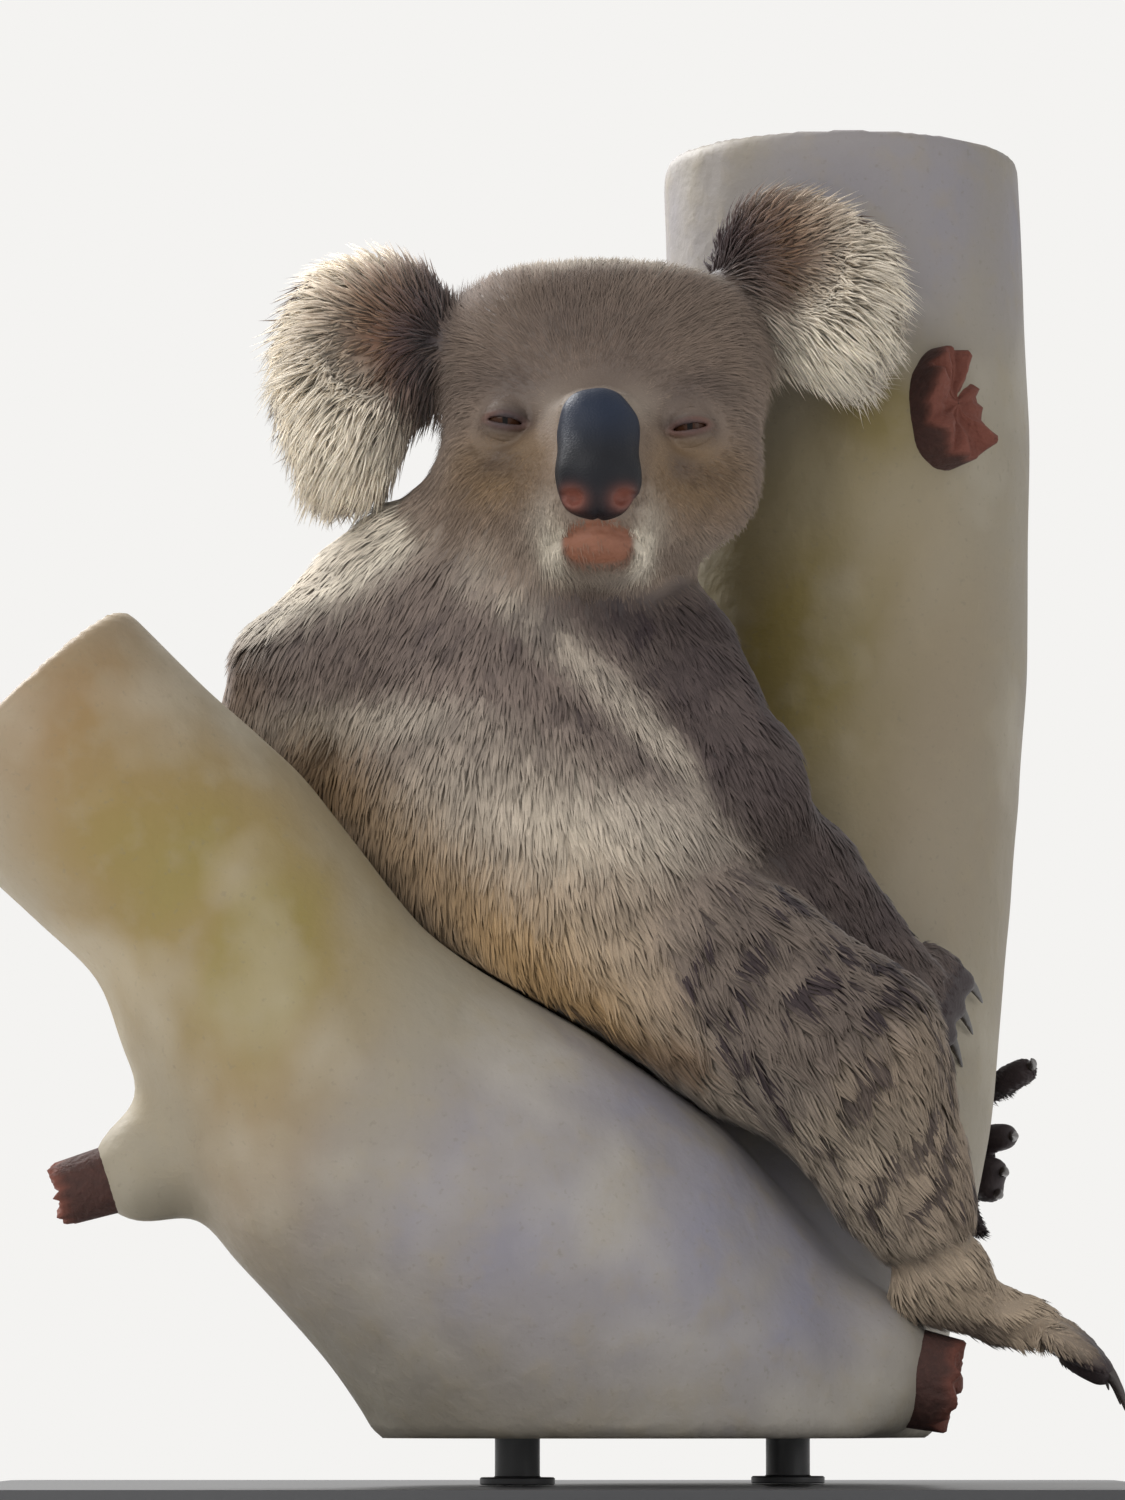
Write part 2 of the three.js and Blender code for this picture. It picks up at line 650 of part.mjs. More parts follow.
function layStand() {
  const outline = new THREE.Shape();
  [[1, 1], [-1, 1], [-1, -1], [1, -1]].forEach(([sideX, sideY], turn) => {
    const start = (turn * Math.PI) / 2;
    const x = sideX * (BASE_SIZE.x / 2 - BASE_CORNER);
    const y = sideY * (BASE_SIZE.y / 2 - BASE_CORNER);
    outline.absarc(x, y, BASE_CORNER, start, start + Math.PI / 2, false);
  });
  outline.closePath();
  const settings = { depth: BASE_SIZE.z, bevelEnabled: false, curveSegments: CORNER_STEPS };
  place("stand_base", solid(new THREE.ExtrudeGeometry(outline, settings)), STAND);
  RODS.forEach(({ x, y }, i) => {
    const length = PERCH_FOOT - BASE_SIZE.z - 2 * GAP;
    const rod = new THREE.CylinderGeometry(ROD_RADIUS, ROD_RADIUS, length, ROD_SIDES);
    rod.rotateX(Math.PI / 2);
    rod.translate(x, y, BASE_SIZE.z + GAP + length / 2);
    place(`stand_rod_${i + 1}`, solid(rod), STAND);
  });
}

layPerch();
layTrunkAndNeck();
layHead();
laid.push(wholeTrunk);
for (const [side, leg] of Object.entries(LEGS)) {
  const stations = [leg.hip, leg.knee, leg.ankle];
  layLimb(side, ["thigh", "shank", "foot"], stations, footOf(leg), ANKLE_CUFF);
}
for (const [side, arm] of Object.entries(ARMS)) {
  const stations = [arm.shoulder, arm.elbow, arm.wrist];
  layLimb(side, ["upper_arm", "forearm", "hand"], stations, handOf(arm), WRIST_CUFF);
}
layStand();

export default koala;
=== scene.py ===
"""Finishes a life-size koala on its perch: skin, coat, eyes, nose, claws, bark, broken wood, stand and stage.

Metres, +Z up, in the frame of the solid model. The koala faces -Y and its own right side is at -X.
"""

import functools
import math

import bpy
import numpy as np
import openvdb as vdb
from mathutils.kdtree import KDTree
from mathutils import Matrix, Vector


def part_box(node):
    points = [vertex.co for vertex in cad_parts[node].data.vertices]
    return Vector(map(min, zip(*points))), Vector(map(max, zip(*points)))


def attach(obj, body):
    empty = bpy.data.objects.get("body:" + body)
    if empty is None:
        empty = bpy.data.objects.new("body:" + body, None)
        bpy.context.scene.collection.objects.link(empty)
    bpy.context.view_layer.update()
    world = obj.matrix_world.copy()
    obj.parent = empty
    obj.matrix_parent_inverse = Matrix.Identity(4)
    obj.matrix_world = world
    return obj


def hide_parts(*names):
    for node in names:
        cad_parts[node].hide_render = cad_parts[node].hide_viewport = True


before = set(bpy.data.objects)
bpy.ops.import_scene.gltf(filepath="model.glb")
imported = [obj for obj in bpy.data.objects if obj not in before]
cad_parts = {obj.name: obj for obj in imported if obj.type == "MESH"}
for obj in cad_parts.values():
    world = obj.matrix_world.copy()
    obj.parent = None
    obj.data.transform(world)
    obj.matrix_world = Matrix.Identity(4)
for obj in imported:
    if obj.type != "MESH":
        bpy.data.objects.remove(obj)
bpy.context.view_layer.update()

bl_info = {
    "name": "Koala on a perch",
    "version": (1, 0, 0),
    "blender": (4, 5, 0),
    "location": "3D View > Sidebar > Koala",
    "description": "Builds the skin, coat, face, claws, bark and stand of a life-size koala",
    "category": "Add Mesh",
}

MM = 0.001
SIDES = ("right", "left")
ARM = ("upper_arm", "forearm", "hand")
LEG = ("thigh", "shank", "foot")
FLESH = ["head", "neck", "trunk"] + [f"{part}_{side}" for side in SIDES for part in ("ear", *ARM, *LEG)]
WOOD = ["perch_trunk", "perch_fork", "perch_limb"]
CLAWS = [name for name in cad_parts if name.startswith("claw_")]

USUAL_TUFTS = 175000

# The coat of each part: how deep the skin lies under the tips, the length of a tuft, how far it
# stands off the skin, half its width, tufts for each square centimetre, and how far tips gather.
# In millimetres and degrees.
COAT = {
    "head": dict(depth=2.6, length=9, lift=24, width=0.42, density=125, gather=0.12),
    "neck": dict(depth=4, length=15, lift=18, width=0.66, density=46, gather=0.22),
    "trunk": dict(depth=4.2, length=16, lift=15, width=0.72, density=46, gather=0.28),
    "ear": dict(depth=8.5, length=29, lift=40, width=0.46, density=125, gather=0.4),
    "upper_arm": dict(depth=3.2, length=13, lift=14, width=0.66, density=48, gather=0.22),
    "forearm": dict(depth=2.6, length=11, lift=13, width=0.62, density=50, gather=0.22),
    "hand": dict(depth=0.9, length=4.5, lift=10, width=0.42, density=75, gather=0.15),
    "thigh": dict(depth=4.4, length=17, lift=23, width=0.68, density=46, gather=0.66),
    "shank": dict(depth=3.6, length=14, lift=22, width=0.66, density=48, gather=0.68),
    "foot": dict(depth=1.4, length=6.5, lift=10, width=0.45, density=75, gather=0.15),
}


# ---------------------------------------------------------------- small helpers


def paint(code):
    """An sRGB hex colour as linear red, green, blue and alpha."""
    parts = [int(code[i : i + 2], 16) / 255 for i in (0, 2, 4)]
    return [p / 12.92 if p <= 0.04045 else ((p + 0.055) / 1.055) ** 2.4 for p in parts] + [1.0]


def unit(vectors):
    """Vectors of length 1 in the same directions."""
    return vectors / np.maximum(np.linalg.norm(vectors, axis=-1, keepdims=True), 1e-9)


def ramp(value, start, end):
    """0 at start and 1 at end, eased, for numbers or arrays."""
    share = np.clip((value - start) / (end - start), 0, 1)
    return share * share * (3 - 2 * share)


def corners(node):
    """Lowest and highest corner of a CAD node as arrays."""
    return [np.array(corner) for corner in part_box(node)]


def middle(node):
    """The middle of a CAD node's box."""
    return sum(corners(node)) / 2


def span(names, margin):
    """Lowest and highest corner of the box round several CAD nodes, with a margin."""
    boxes = np.array([corners(name) for name in names])
    return boxes[:, 0].min(0) - margin, boxes[:, 1].max(0) + margin


def turns(sides):
    """The angles of the corners of a ring with this many sides."""
    return np.linspace(0, 2 * math.pi, sides, endpoint=False)


def node_mesh(*names):
    """Corner positions and triangles of CAD nodes, joined."""
    points, triangles, first = [], [], 0
    for name in names:
        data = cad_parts[name].data
        data.calc_loop_triangles()
        places = np.empty(len(data.vertices) * 3, np.float32)
        data.vertices.foreach_get("co", places)
        faces = np.empty(len(data.loop_triangles) * 3, np.int32)
        data.loop_triangles.foreach_get("vertices", faces)
        points.append(places.reshape(-1, 3))
        triangles.append(faces.reshape(-1, 3) + first)
        first += len(data.vertices)
    return np.concatenate(points), np.concatenate(triangles)


def flat_face(node, heading):
    """The corners of the triangles, and the outward direction, of the flat end that faces a heading."""
    points, triangles = node_mesh(node)
    a, b, c = (points[triangles[:, i]] for i in range(3))
    area = np.cross(b - a, c - a) / 2
    size = np.linalg.norm(area, axis=1)
    facing = unit(area)
    towards = unit(np.array(heading, float))
    plane = ((a + b + c) / 3 * facing).sum(1)
    best, found = 0, None
    for i in np.argsort(-size)[:60]:
        alike = (facing @ facing[i] > 0.999) & (np.abs(plane - plane[i]) < 1 * MM)
        score = size[alike].sum() * max(float(facing[i] @ towards), 0) ** 3
        if score > best:
            best, found = score, (alike, facing[i])
    alike, normal = found
    return np.stack([a, b, c], 1)[alike], normal


def flat_end(node, heading):
    """Middle, outward direction and radius of the flat end of a CAD node that faces a heading."""
    triangles, normal = flat_face(node, heading)
    a, b, c = triangles.transpose(1, 0, 2)
    size = np.linalg.norm(np.cross(b - a, c - a), axis=1) / 2
    centre = (triangles.mean(1) * size[:, None]).sum(0) / size.sum()
    return centre, normal, math.sqrt(size.sum() / math.pi)


def run_on(node, heading, length):
    """Prisms on the triangles of a flat end, which carry the body on past it."""
    triangles, normal = flat_face(node, heading)
    near, far = triangles - 1.5 * MM * normal, triangles + length * normal
    points = np.concatenate([near, far], 1).reshape(-1, 3)
    prism = [(0, 2, 1), (3, 4, 5), (0, 1, 4), (0, 4, 3), (1, 2, 5), (1, 5, 4), (2, 0, 3), (2, 3, 5)]
    faces = (6 * np.arange(len(triangles))[:, None, None] + np.array(prism)).reshape(-1, 3)
    return points, faces


# ---------------------------------------------------------------- fields on a block of cells


class Block:
    """A box of cells. A field on it is an array of signed distances in metres, negative inside."""

    def __init__(self, low, high, cell):
        self.low = np.array(low, float)
        self.cell = cell
        self.shape = tuple(int(n) for n in np.ceil((np.array(high) - self.low) / cell) + 1)

    def distance(self, points, faces, band):
        """The distance from a closed mesh of triangles or quads."""
        kind = "triangles" if faces.shape[1] == 3 else "quads"
        grid = vdb.FloatGrid.createLevelSetFromPolygons(
            np.ascontiguousarray((points - self.low) / self.cell, np.float32),
            transform=vdb.createLinearTransform(1.0),
            halfWidth=band / self.cell,
            **{kind: np.ascontiguousarray(faces, np.uint32)},
        )
        field = np.empty(self.shape, np.float32)
        grid.copyToArray(field)
        return field * self.cell

    def closed_up(self, nodes, band, ends=()):
        """The distance from several CAD nodes as one body, with the thin cuts between them closed.

        Each of the ends, a node and a heading, is a flat face that the body runs on past.
        """
        points, faces = node_mesh(*nodes)
        for name, heading in ends:
            more, more_faces = run_on(name, heading, 30 * MM)
            faces = np.concatenate([faces, more_faces + len(points)])
            points = np.concatenate([points, more])
        shell = self.surface(self.distance(points, faces, 3 * self.cell))
        return self.distance(*shell, band)

    def surface(self, field):
        """Corner positions and quads of the surface where a field is zero."""
        grid = vdb.FloatGrid(1.0)
        grid.copyFromArray(np.ascontiguousarray(field / self.cell, np.float32))
        points, quads = grid.convertToQuads(0.0)
        return self.low + np.asarray(points, float) * self.cell, np.asarray(quads, np.int64)[:, ::-1]

    def window(self, low, high):
        """The slices of the cells between two corners, and their coordinates along each axis."""
        start, end = (((np.array(corner) - self.low) / self.cell).astype(int) for corner in (low, high))
        first, last = np.clip(start, 0, None), np.minimum(end + 1, self.shape)
        cut = tuple(slice(a, b) for a, b in zip(first, last))
        axes = [self.low[i] + self.cell * np.arange(first[i], last[i]) for i in range(3)]
        return cut, np.meshgrid(*axes, indexing="ij", sparse=True)

    def sample(self, field, points):
        """A field, or several stacked behind each other, at any points."""
        place = np.clip((points - self.low) / self.cell, 0, np.array(self.shape) - 1.001)
        first = place.astype(int)
        share = place - first
        total = 0
        for step in np.ndindex(2, 2, 2):
            weight = np.prod(np.where(step, share, 1 - share), axis=1)
            i, j, k = (first + step).T
            found = field[i, j, k]
            total = total + found * (weight if found.ndim == 1 else weight[:, None])
        return total

    def slope(self, field, points):
        """The unit direction in which a field rises at each point."""
        steps = np.eye(3) * self.cell
        rise = [self.sample(field, points + s) - self.sample(field, points - s) for s in steps]
        return unit(np.stack(rise, 1))

    def spread_onto(self, field, finer):
        """A field on this block, read at the cells of a finer block."""
        for axis in range(3):
            cells = finer.low[axis] + finer.cell * np.arange(finer.shape[axis])
            place = (cells - self.low[axis]) / self.cell
            first = np.clip(place.astype(int), 0, field.shape[axis] - 2)
            share = np.clip(place - first, 0, 1).astype(np.float32)
            share = share.reshape([-1 if a == axis else 1 for a in range(3)])
            field = np.take(field, first, axis) * (1 - share) + np.take(field, first + 1, axis) * share
        return field

    def cloud(self, size, seed):
        """Smooth noise between -1 and 1 with humps of a given size."""
        coarse = Block(self.low - size, self.low + np.array(self.shape) * self.cell + size, size)
        noise = np.random.default_rng(seed).uniform(-1, 1, coarse.shape).astype(np.float32)
        return blurred(coarse.spread_onto(noise, self), 0.35 * size / self.cell)


def blurred(field, reach):
    """A field smoothed over a reach given in cells."""
    span = int(math.ceil(2.4 * reach))
    taps = np.exp(-0.5 * (np.arange(-span, span + 1) / reach) ** 2)
    taps = (taps / taps.sum()).astype(np.float32)
    for axis in range(3):
        count = field.shape[axis]
        padded = np.pad(field, [(span, span) if a == axis else (0, 0) for a in range(3)], mode="edge")
        total = np.zeros_like(field)
        for i, tap in enumerate(taps):
            shifted = tuple(slice(i, i + count) if a == axis else slice(None) for a in range(3))
            total += tap * padded[shifted]
        field = total
    return field


def merged(a, b, softness):
    """The smooth union of two fields."""
    gap = np.maximum(softness - np.abs(a - b), 0)
    return np.minimum(a, b) - gap * gap / (4 * softness)


def carved(a, b, softness):
    """What is left of a when b is cut out of it, with a soft edge."""
    return -merged(-a, b, softness)


def egg(axes, centre, half):
    """The distance from an ellipsoid, or from a ball of one radius, near its surface."""
    half = np.broadcast_to(half, 3)
    x, y, z = (axes[i] - centre[i] for i in range(3))
    near = np.sqrt((x / half[0]) ** 2 + (y / half[1]) ** 2 + (z / half[2]) ** 2)
    steep = np.sqrt((x / half[0] ** 2) ** 2 + (y / half[1] ** 2) ** 2 + (z / half[2] ** 2) ** 2)
    return near * (near - 1) / np.maximum(steep, 1e-6)


# ---------------------------------------------------------------- meshes, materials and settings


def mesh_piece(name, points, faces, material, replaced=(), attributes=None, normals=None):
    """A smooth mesh object that rides on the body, from arrays of its corners, faces and attributes."""
    mesh = bpy.data.meshes.new(name)
    count, sides = faces.shape
    mesh.vertices.add(len(points))
    mesh.vertices.foreach_set("co", np.asarray(points, np.float32).ravel())
    mesh.loops.add(count * sides)
    mesh.loops.foreach_set("vertex_index", np.asarray(faces, np.int32).ravel())
    mesh.polygons.add(count)
    mesh.polygons.foreach_set("loop_start", np.arange(0, count * sides, sides, dtype=np.int32))
    mesh.update(calc_edges=True)
    for label, values in (attributes or {}).items():
        kind = "FLOAT" if values.ndim == 1 else "FLOAT_COLOR"
        layer = mesh.attributes.new(label, kind, "POINT")
        entry = "value" if values.ndim == 1 else "color"
        layer.data.foreach_set(entry, values.astype(np.float32).ravel())
    if normals is not None:
        mesh.normals_split_custom_set_from_vertices(normals.astype(np.float32).tolist())
    mesh.materials.append(material)
    piece = placed(name, mesh)
    smooth_all(piece)
    return seated(piece, replaced)


def placed(name, data):
    """A new object in the scene that holds a mesh, a lamp or a camera."""
    made = bpy.data.objects.new(name, data)
    bpy.context.scene.collection.objects.link(made)
    return made


def smooth_all(piece):
    """Shades a piece as a smooth surface."""
    piece.data.polygons.foreach_set("use_smooth", np.ones(len(piece.data.polygons), bool))
    piece.data.update()


def seated(piece, replaced=()):
    """Sets a piece on the body and hides the CAD nodes that it stands for."""
    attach(piece, "root")
    if replaced:
        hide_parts(*replaced)
    return piece


def kept_node(name, material):
    """Welds a CAD node that stays in the model, and gives it its material."""
    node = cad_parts[name]
    node.modifiers.new("weld", "WELD").merge_threshold = 0.02 * MM
    node.data.materials.clear()
    node.data.materials.append(material)
    return node


def add(tree, kind, inputs=None, **settings):
    """Adds a node with its settings and links.

    Inputs go by name, or by place where names repeat. Each is a value, a socket, or a node, which
    gives its first output.
    """
    node = tree.nodes.new(kind)
    for name, value in settings.items():
        setattr(node, name, value)
    for name, value in (inputs or {}).items():
        if isinstance(name, int):
            socket = node.inputs[name]
        else:
            socket = next(s for s in node.inputs if s.enabled and s.name == name)
        if isinstance(value, bpy.types.Node):
            value = next(s for s in value.outputs if s.enabled)
        if isinstance(value, bpy.types.NodeSocket):
            tree.links.new(value, socket)
        else:
            socket.default_value = value
    return node


def sized(place, size, **more):
    """Inputs that give a texture on the object features of a real size in metres."""
    return {"Vector": place.outputs["Object"], "Scale": 1 / size, **more}


def new_material(name):
    """An empty material and its node tree."""
    made = bpy.data.materials.new(name)
    made.use_nodes = True
    made.node_tree.nodes.clear()
    return made, made.node_tree


def close_material(tree, colour, roughness, relief=None, relief_depth=0.0, **plain):
    """Ends a material on one surface shader, with relief bumped to a real depth in metres.

    The plain values are set on the shader's own sockets, such as Sheen_Weight for Sheen Weight.
    """
    inputs = {"Base Color": colour, "Roughness": roughness}
    inputs.update({name.replace("_", " "): value for name, value in plain.items()})
    if relief is not None:
        bump = {"Height": relief, "Distance": relief_depth, "Strength": 1.0}
        inputs["Normal"] = add(tree, "ShaderNodeBump", bump)
    surface = add(tree, "ShaderNodeBsdfPrincipled", inputs)
    add(tree, "ShaderNodeOutputMaterial", {"Surface": surface})


def settings_of(context):
    """The sizes and colours that the user can change."""
    return context.scene.koala_settings


def colour_property(name, code, description):
    """A colour that the user can change, from its sRGB code."""
    return bpy.props.FloatVectorProperty(
        name=name, description=description, default=paint(code), size=4, subtype="COLOR", min=0, max=1
    )


def length_property(name, value, description):
    """A length that the user can change, in metres."""
    kind = dict(min=0, unit="LENGTH", subtype="DISTANCE", precision=4)
    return bpy.props.FloatProperty(name=name, description=description, default=value, **kind)


class KoalaSettings(bpy.types.PropertyGroup):
    """Sizes and colours that can be changed before the pieces are built."""

    skin_cell: length_property("Skin cell", 1.8 * MM, "Size of the skin's facets")
    tufts: bpy.props.IntProperty(
        name="Tufts", description="Tufts of hair in the whole coat", default=USUAL_TUFTS, min=1000
    )
    coat_length: bpy.props.FloatProperty(
        name="Coat length",
        description="Length of every tuft against its usual one",
        default=1.0,
        min=0.2,
        max=2,
        subtype="FACTOR",
    )
    grey_hair: colour_property("Grey hair", "786a61", "Head, shoulders and arms")
    # Dark hair is also the colour of the painted shade at the ear roots, under the chin, in the arm fold,
    # along the limb and in the partings.
    dark_hair_and_shade: colour_property("Dark hair and shade", "382e2f", "Ear roots, front of the left arm and partings")
    # Pale hair is also the colour of the painted light on the top of the shoulder, the crown and the cheeks.
    pale_hair_and_light: colour_property("Pale hair and light", "dcd2c0", "Belly, chin and the fringes of the ears")
    warm_hair: colour_property("Warm hair", "a1835c", "Flanks and feet")
    bare_skin: colour_property("Bare skin", "805440", "Lips, lids and the inside of the ears")
    lid_opening: length_property("Lid opening", 3.0 * MM, "Height of the slit between the lids")
    nose_black: colour_property("Nose", "131419", "Bare leathery pad of the nose")
    nostril_pink: colour_property("Nostrils", "91594a", "Inside of the nostrils")
    iris: colour_property("Iris", "3f2618", "Iris of the eye")
    horn: colour_property("Claw horn", "1e1918", "Claws")
    bark_cell: length_property("Bark cell", 3 * MM, "Size of the bark's facets")
    bark_pale: colour_property("Pale bark", "8c8473", "Smooth bark")
    bark_tan: colour_property("Tan bark", "896740", "Tan streaks on the side limb")
    bark_olive: colour_property("Olive bark", "807140", "Olive patches on the upright stem")
    bark_grey: colour_property("Grey bark", "807d86", "Shaded old bark at the foot")
    dead_wood: colour_property("Dead wood", "45271f", "Broken stubs")
    sawn_wood: colour_property("Sawn wood", "a8937a", "Saw cuts")
    stand_paint: colour_property("Stand paint", "3b3b3d", "Base and rods")
    floor: colour_property("Floor", "f4f3f1", "Floor and the studio around it")


# ---------------------------------------------------------------- the koala's body as fields

# How far each part of the body holds past its own solid: with its markings, and with its coat.
MARKINGS_HOLD = 6 * MM
COAT_HOLD = 17 * MM
# How far the joined solids are smoothed: hands and feet, the rest of the body, and the ankles.
PAW_SMOOTHING = 1.3 * MM
BODY_SMOOTHING = 4.5 * MM
ANKLE_SMOOTHING = 9 * MM
HALF_SLIT = 7 * MM  # half the width of the opening between the lids
EYE_GAP = 0.1 * MM  # between an eyeball and what lies round it


class Anatomy:
    """The koala's skin as a field, with the share that each part of the body has in every place."""

    def __init__(self, cell):
        self.cups, self.bare_face = {}, {}
        low, high = span(FLESH, 25 * MM)
        self.block = Block(low, high, cell)
        self.coarse = Block(low - 20 * MM, high + 20 * MM, 8 * MM)
        near = [self.coarse.distance(*node_mesh(name), 60 * MM) for name in FLESH]
        self.shares = shares_of(near, MARKINGS_HOLD)
        self.wide = shares_of(near, COAT_HOLD)
        body = self.block.closed_up(FLESH, 26 * MM)
        paws = self.part_share("hand", "foot")
        crisp = blurred(body, PAW_SMOOTHING / cell)
        soft = blurred(body, BODY_SMOOTHING / cell)
        body = soft + (crisp - soft) * self.coarse.spread_onto(paws, self.block)
        body += self.coarse.spread_onto(self.by_part("depth", self.wide) * MM, self.block)
        self.skin = body
        for side in SIDES:
            self.ease(near_end(f"foot_{side}", middle(f"shank_{side}")), 26 * MM)
        for claw in CLAWS:
            self.round_digit(claw)
        for side in SIDES:
            self.hollow_ear(side)
        self.shape_face()

    def part_share(self, *parts):
        """The joint share of the parts whose names start with one of these."""
        return sum(self.shares[..., i] for i, name in enumerate(FLESH) if name.startswith(parts))

    def by_part(self, key, shares):
        """A coat setting blended over the body by each part's share."""
        return sum(COAT[part_of(name)][key] * shares[..., i] for i, name in enumerate(FLESH))

    def ease(self, centre, reach):
        """Smooths the skin more within a reach of a place."""
        cut, axes = self.block.window(centre - 2.4 * reach, centre + 2.4 * reach)
        share = np.exp(-sum((axes[i] - centre[i]) ** 2 for i in range(3)) / reach**2)
        before = self.skin[cut]
        self.skin[cut] = before + (blurred(before, ANKLE_SMOOTHING / self.block.cell) - before) * share

    def round_digit(self, claw):
        """Swells the end of the finger or toe that a claw grows from."""
        root = claw_root(claw)
        back = unit(middle(paw_of(claw)) - root)
        cut, axes = self.block.window(root - 24 * MM, root + 24 * MM)
        for length, girth in ((0, 5.3), (6, 5.6), (12, 5.2)):
            pad = egg(axes, root + length * MM * back, girth * MM)
            self.skin[cut] = merged(self.skin[cut], pad, 4 * MM)

    def hollow_ear(self, side):
        """Cups the front of an ear."""
        low, high = corners(f"ear_{side}")
        size = high - low
        centre = (low + high) / 2 + np.array([0, -0.3 * size[1], 0.1 * size[2]])
        self.cups[side] = centre
        cut, axes = self.block.window(low, high)
        cup = egg(axes, centre, np.array([18, 13, 22]) * MM)
        self.skin[cut] = carved(self.skin[cut], cup, 6 * MM)

    def head_window(self):
        """The cells round the head, as Block.window gives them."""
        return self.block.window(*span(["head"], 10 * MM))

    def shape_face(self):
        """Sets the sockets, brows, lids, muzzle pads, mouth and lower lip into the face."""
        nose_low, nose_high = corners("nose")
        nose = (nose_low + nose_high) / 2
        cut, (x, y, z) = self.head_window()
        face = self.skin[cut]
        front = 1 - ramp(y, nose[1] + 25 * MM, nose[1] + 55 * MM)

        def hump(across, up, half_across, half_up):
            """1 at a place on the front of the face, fading to 0 about one half-size away."""
            return front * np.exp(-(((x - across) / half_across) ** 2) - ((z - up) / half_up) ** 2)

        mouth = nose_low[2] - 2 * MM
        points, faces = node_mesh("nose")
        collar = self.block.distance(points + np.array([0, 9, 0]) * MM, faces, 26 * MM)[cut] - 1 * MM
        face = merged(face, collar, 13 * MM)
        for turn in (-1, 1):
            face -= 2.6 * MM * hump(nose[0] + turn * 18 * MM, mouth + 4 * MM, 9 * MM, 10 * MM)
        for side in SIDES:
            eye = middle(f"eye_{side}")
            face += 1.6 * MM * hump(eye[0], eye[2] - 1 * MM, 14 * MM, 9 * MM)
            face -= 1.0 * MM * hump(eye[0], eye[2] + 14 * MM, 16 * MM, 8 * MM)
        lip = egg((x, y, z), (nose[0], nose[1] + 17 * MM, mouth - 5 * MM), np.array([17, 17, 9]) * MM)
        face = merged(face, lip, 13 * MM)
        width = 1 - ramp(np.abs(x - nose[0]), 15 * MM, 24 * MM)
        curve = mouth + 1 * MM - 0.25 * np.abs(x - nose[0])
        face = face + 1.6 * MM * front * width * np.exp(-(((z - curve) / (1.8 * MM)) ** 2))
        for side in SIDES:
            face = self.lidded(face, (x, y, z), side)
        self.skin[cut] = face

    def lidded(self, face, axes, side):
        """Swells the face over an eyeball, and sinks a socket where the finer lids will lie."""
        ball, radius = eye_ball(side)
        face = merged(face, egg(axes, ball, radius + 1.5 * MM), 5 * MM)
        front = ball - np.array([0, radius, 0])
        socket = egg(axes, front, np.array([9.5, 6, 5]) * MM)
        self.bare_face[side] = face.copy()
        return np.maximum(carved(face, socket, 1 * MM), -egg(axes, ball, radius + EYE_GAP))

    def lids(self, side):
        """The lids of an eye as a fine open surface: corner positions, quads and directions."""
        ball, radius = eye_ball(side)
        reach = np.array([17, 16, 14]) * MM
        fine = Block(ball - reach, ball + reach, 0.6 * MM)
        _, axes = self.head_window()
        low, high = ([axis.ravel()[end] for axis in axes] for end in (0, -1))
        window = Block(low, high, self.block.cell)
        face = window.spread_onto(self.bare_face[side], fine)
        _, axes = fine.window(fine.low, fine.low + 2 * reach + fine.cell)
        across, up = lid_place(axes[0], axes[2], side)
        opening = settings_of(bpy.context).lid_opening / 2
        rim = opening * np.sqrt(np.maximum(1 - (across / HALF_SLIT) ** 2, 0))
        # Folds follow the slit: two above it and one below.
        for height, deep in ((4.4, 0.4), (6.8, 0.3), (-4.2, 0.4)):
            fold = up - height * MM * np.sqrt(np.maximum(1 - (across / (11 * MM)) ** 2, 0))
            face = face + deep * MM * np.exp(-((fold / (0.6 * MM)) ** 2)) * (np.abs(across) < 10.5 * MM)
        slit = np.maximum(np.abs(up) - rim, np.abs(across) - HALF_SLIT) + 0 * axes[1]
        face = carved(face, slit, 1.1 * MM)
        face = np.maximum(face, -egg(axes, ball, radius + EYE_GAP))
        points, quads = fine.surface(face)
        normals = fine.slope(face, points)
        across, up = lid_place(points[:, 0], points[:, 2], side)
        away = np.sqrt((across / (14 * MM)) ** 2 + (up / (10.5 * MM)) ** 2)
        points += ((0.35 - 1.6 * ramp(away, 0.7, 1)) * MM)[:, None] * normals
        kept = ((away < 1) & (points[:, 1] < ball[1] - 1 * MM))[quads].all(1)
        used, quads = np.unique(quads[kept], return_inverse=True)
        return points[used], quads.reshape(-1, 4), normals[used]


def shares_of(near, reach):
    """The share of each part in every place, from its distance and how far its hold reaches."""
    share = np.stack([np.exp(-np.maximum(d, 0) / reach) for d in near], -1)
    return (share / np.maximum(share.sum(-1, keepdims=True), 1e-9)).astype(np.float32)


def lid_place(x, z, side):
    """Places across and up from the middle of an eye's slit, which falls a little towards the nose."""
    ball, _ = eye_ball(side)
    inward = 1 if ball[0] < middle("nose")[0] else -1
    return x - ball[0], z - ball[2] + 0.5 * MM + inward * 0.14 * (x - ball[0])


def near_end(name, place):
    """The end of a CAD node that is nearest to a place: the middle of its nearest corners."""
    points, _ = node_mesh(name)
    order = np.argsort(np.linalg.norm(points - place, axis=1))
    return points[order[: len(order) // 5]].mean(0)


def paw_of(claw):
    """The hand or foot that a claw is on."""
    return claw.removeprefix("claw_").rpartition("_")[0]


def claw_root(claw):
    """Where a claw leaves its finger or toe."""
    return near_end(claw, middle(paw_of(claw)))


def part_of(name):
    """The coat setting that a flesh node takes, such as thigh for thigh_left."""
    return name.replace("_right", "").replace("_left", "")


def eye_ball(side):
    """Centre and radius of an eyeball, set a little deeper than its solid."""
    low, high = corners(f"eye_{side}")
    return (low + high) / 2 + np.array([0, 4.5 * MM, 0]), (high[0] - low[0]) / 2


@functools.cache
def anatomy():
    """The body's fields, worked out once."""
    return Anatomy(settings_of(bpy.context).skin_cell)


@functools.cache
def skin_surface():
    """Corner positions, quads and directions of the skin, worked out once."""
    body = anatomy()
    points, quads = body.block.surface(body.skin)
    return points, quads, body.block.slope(body.skin, points)


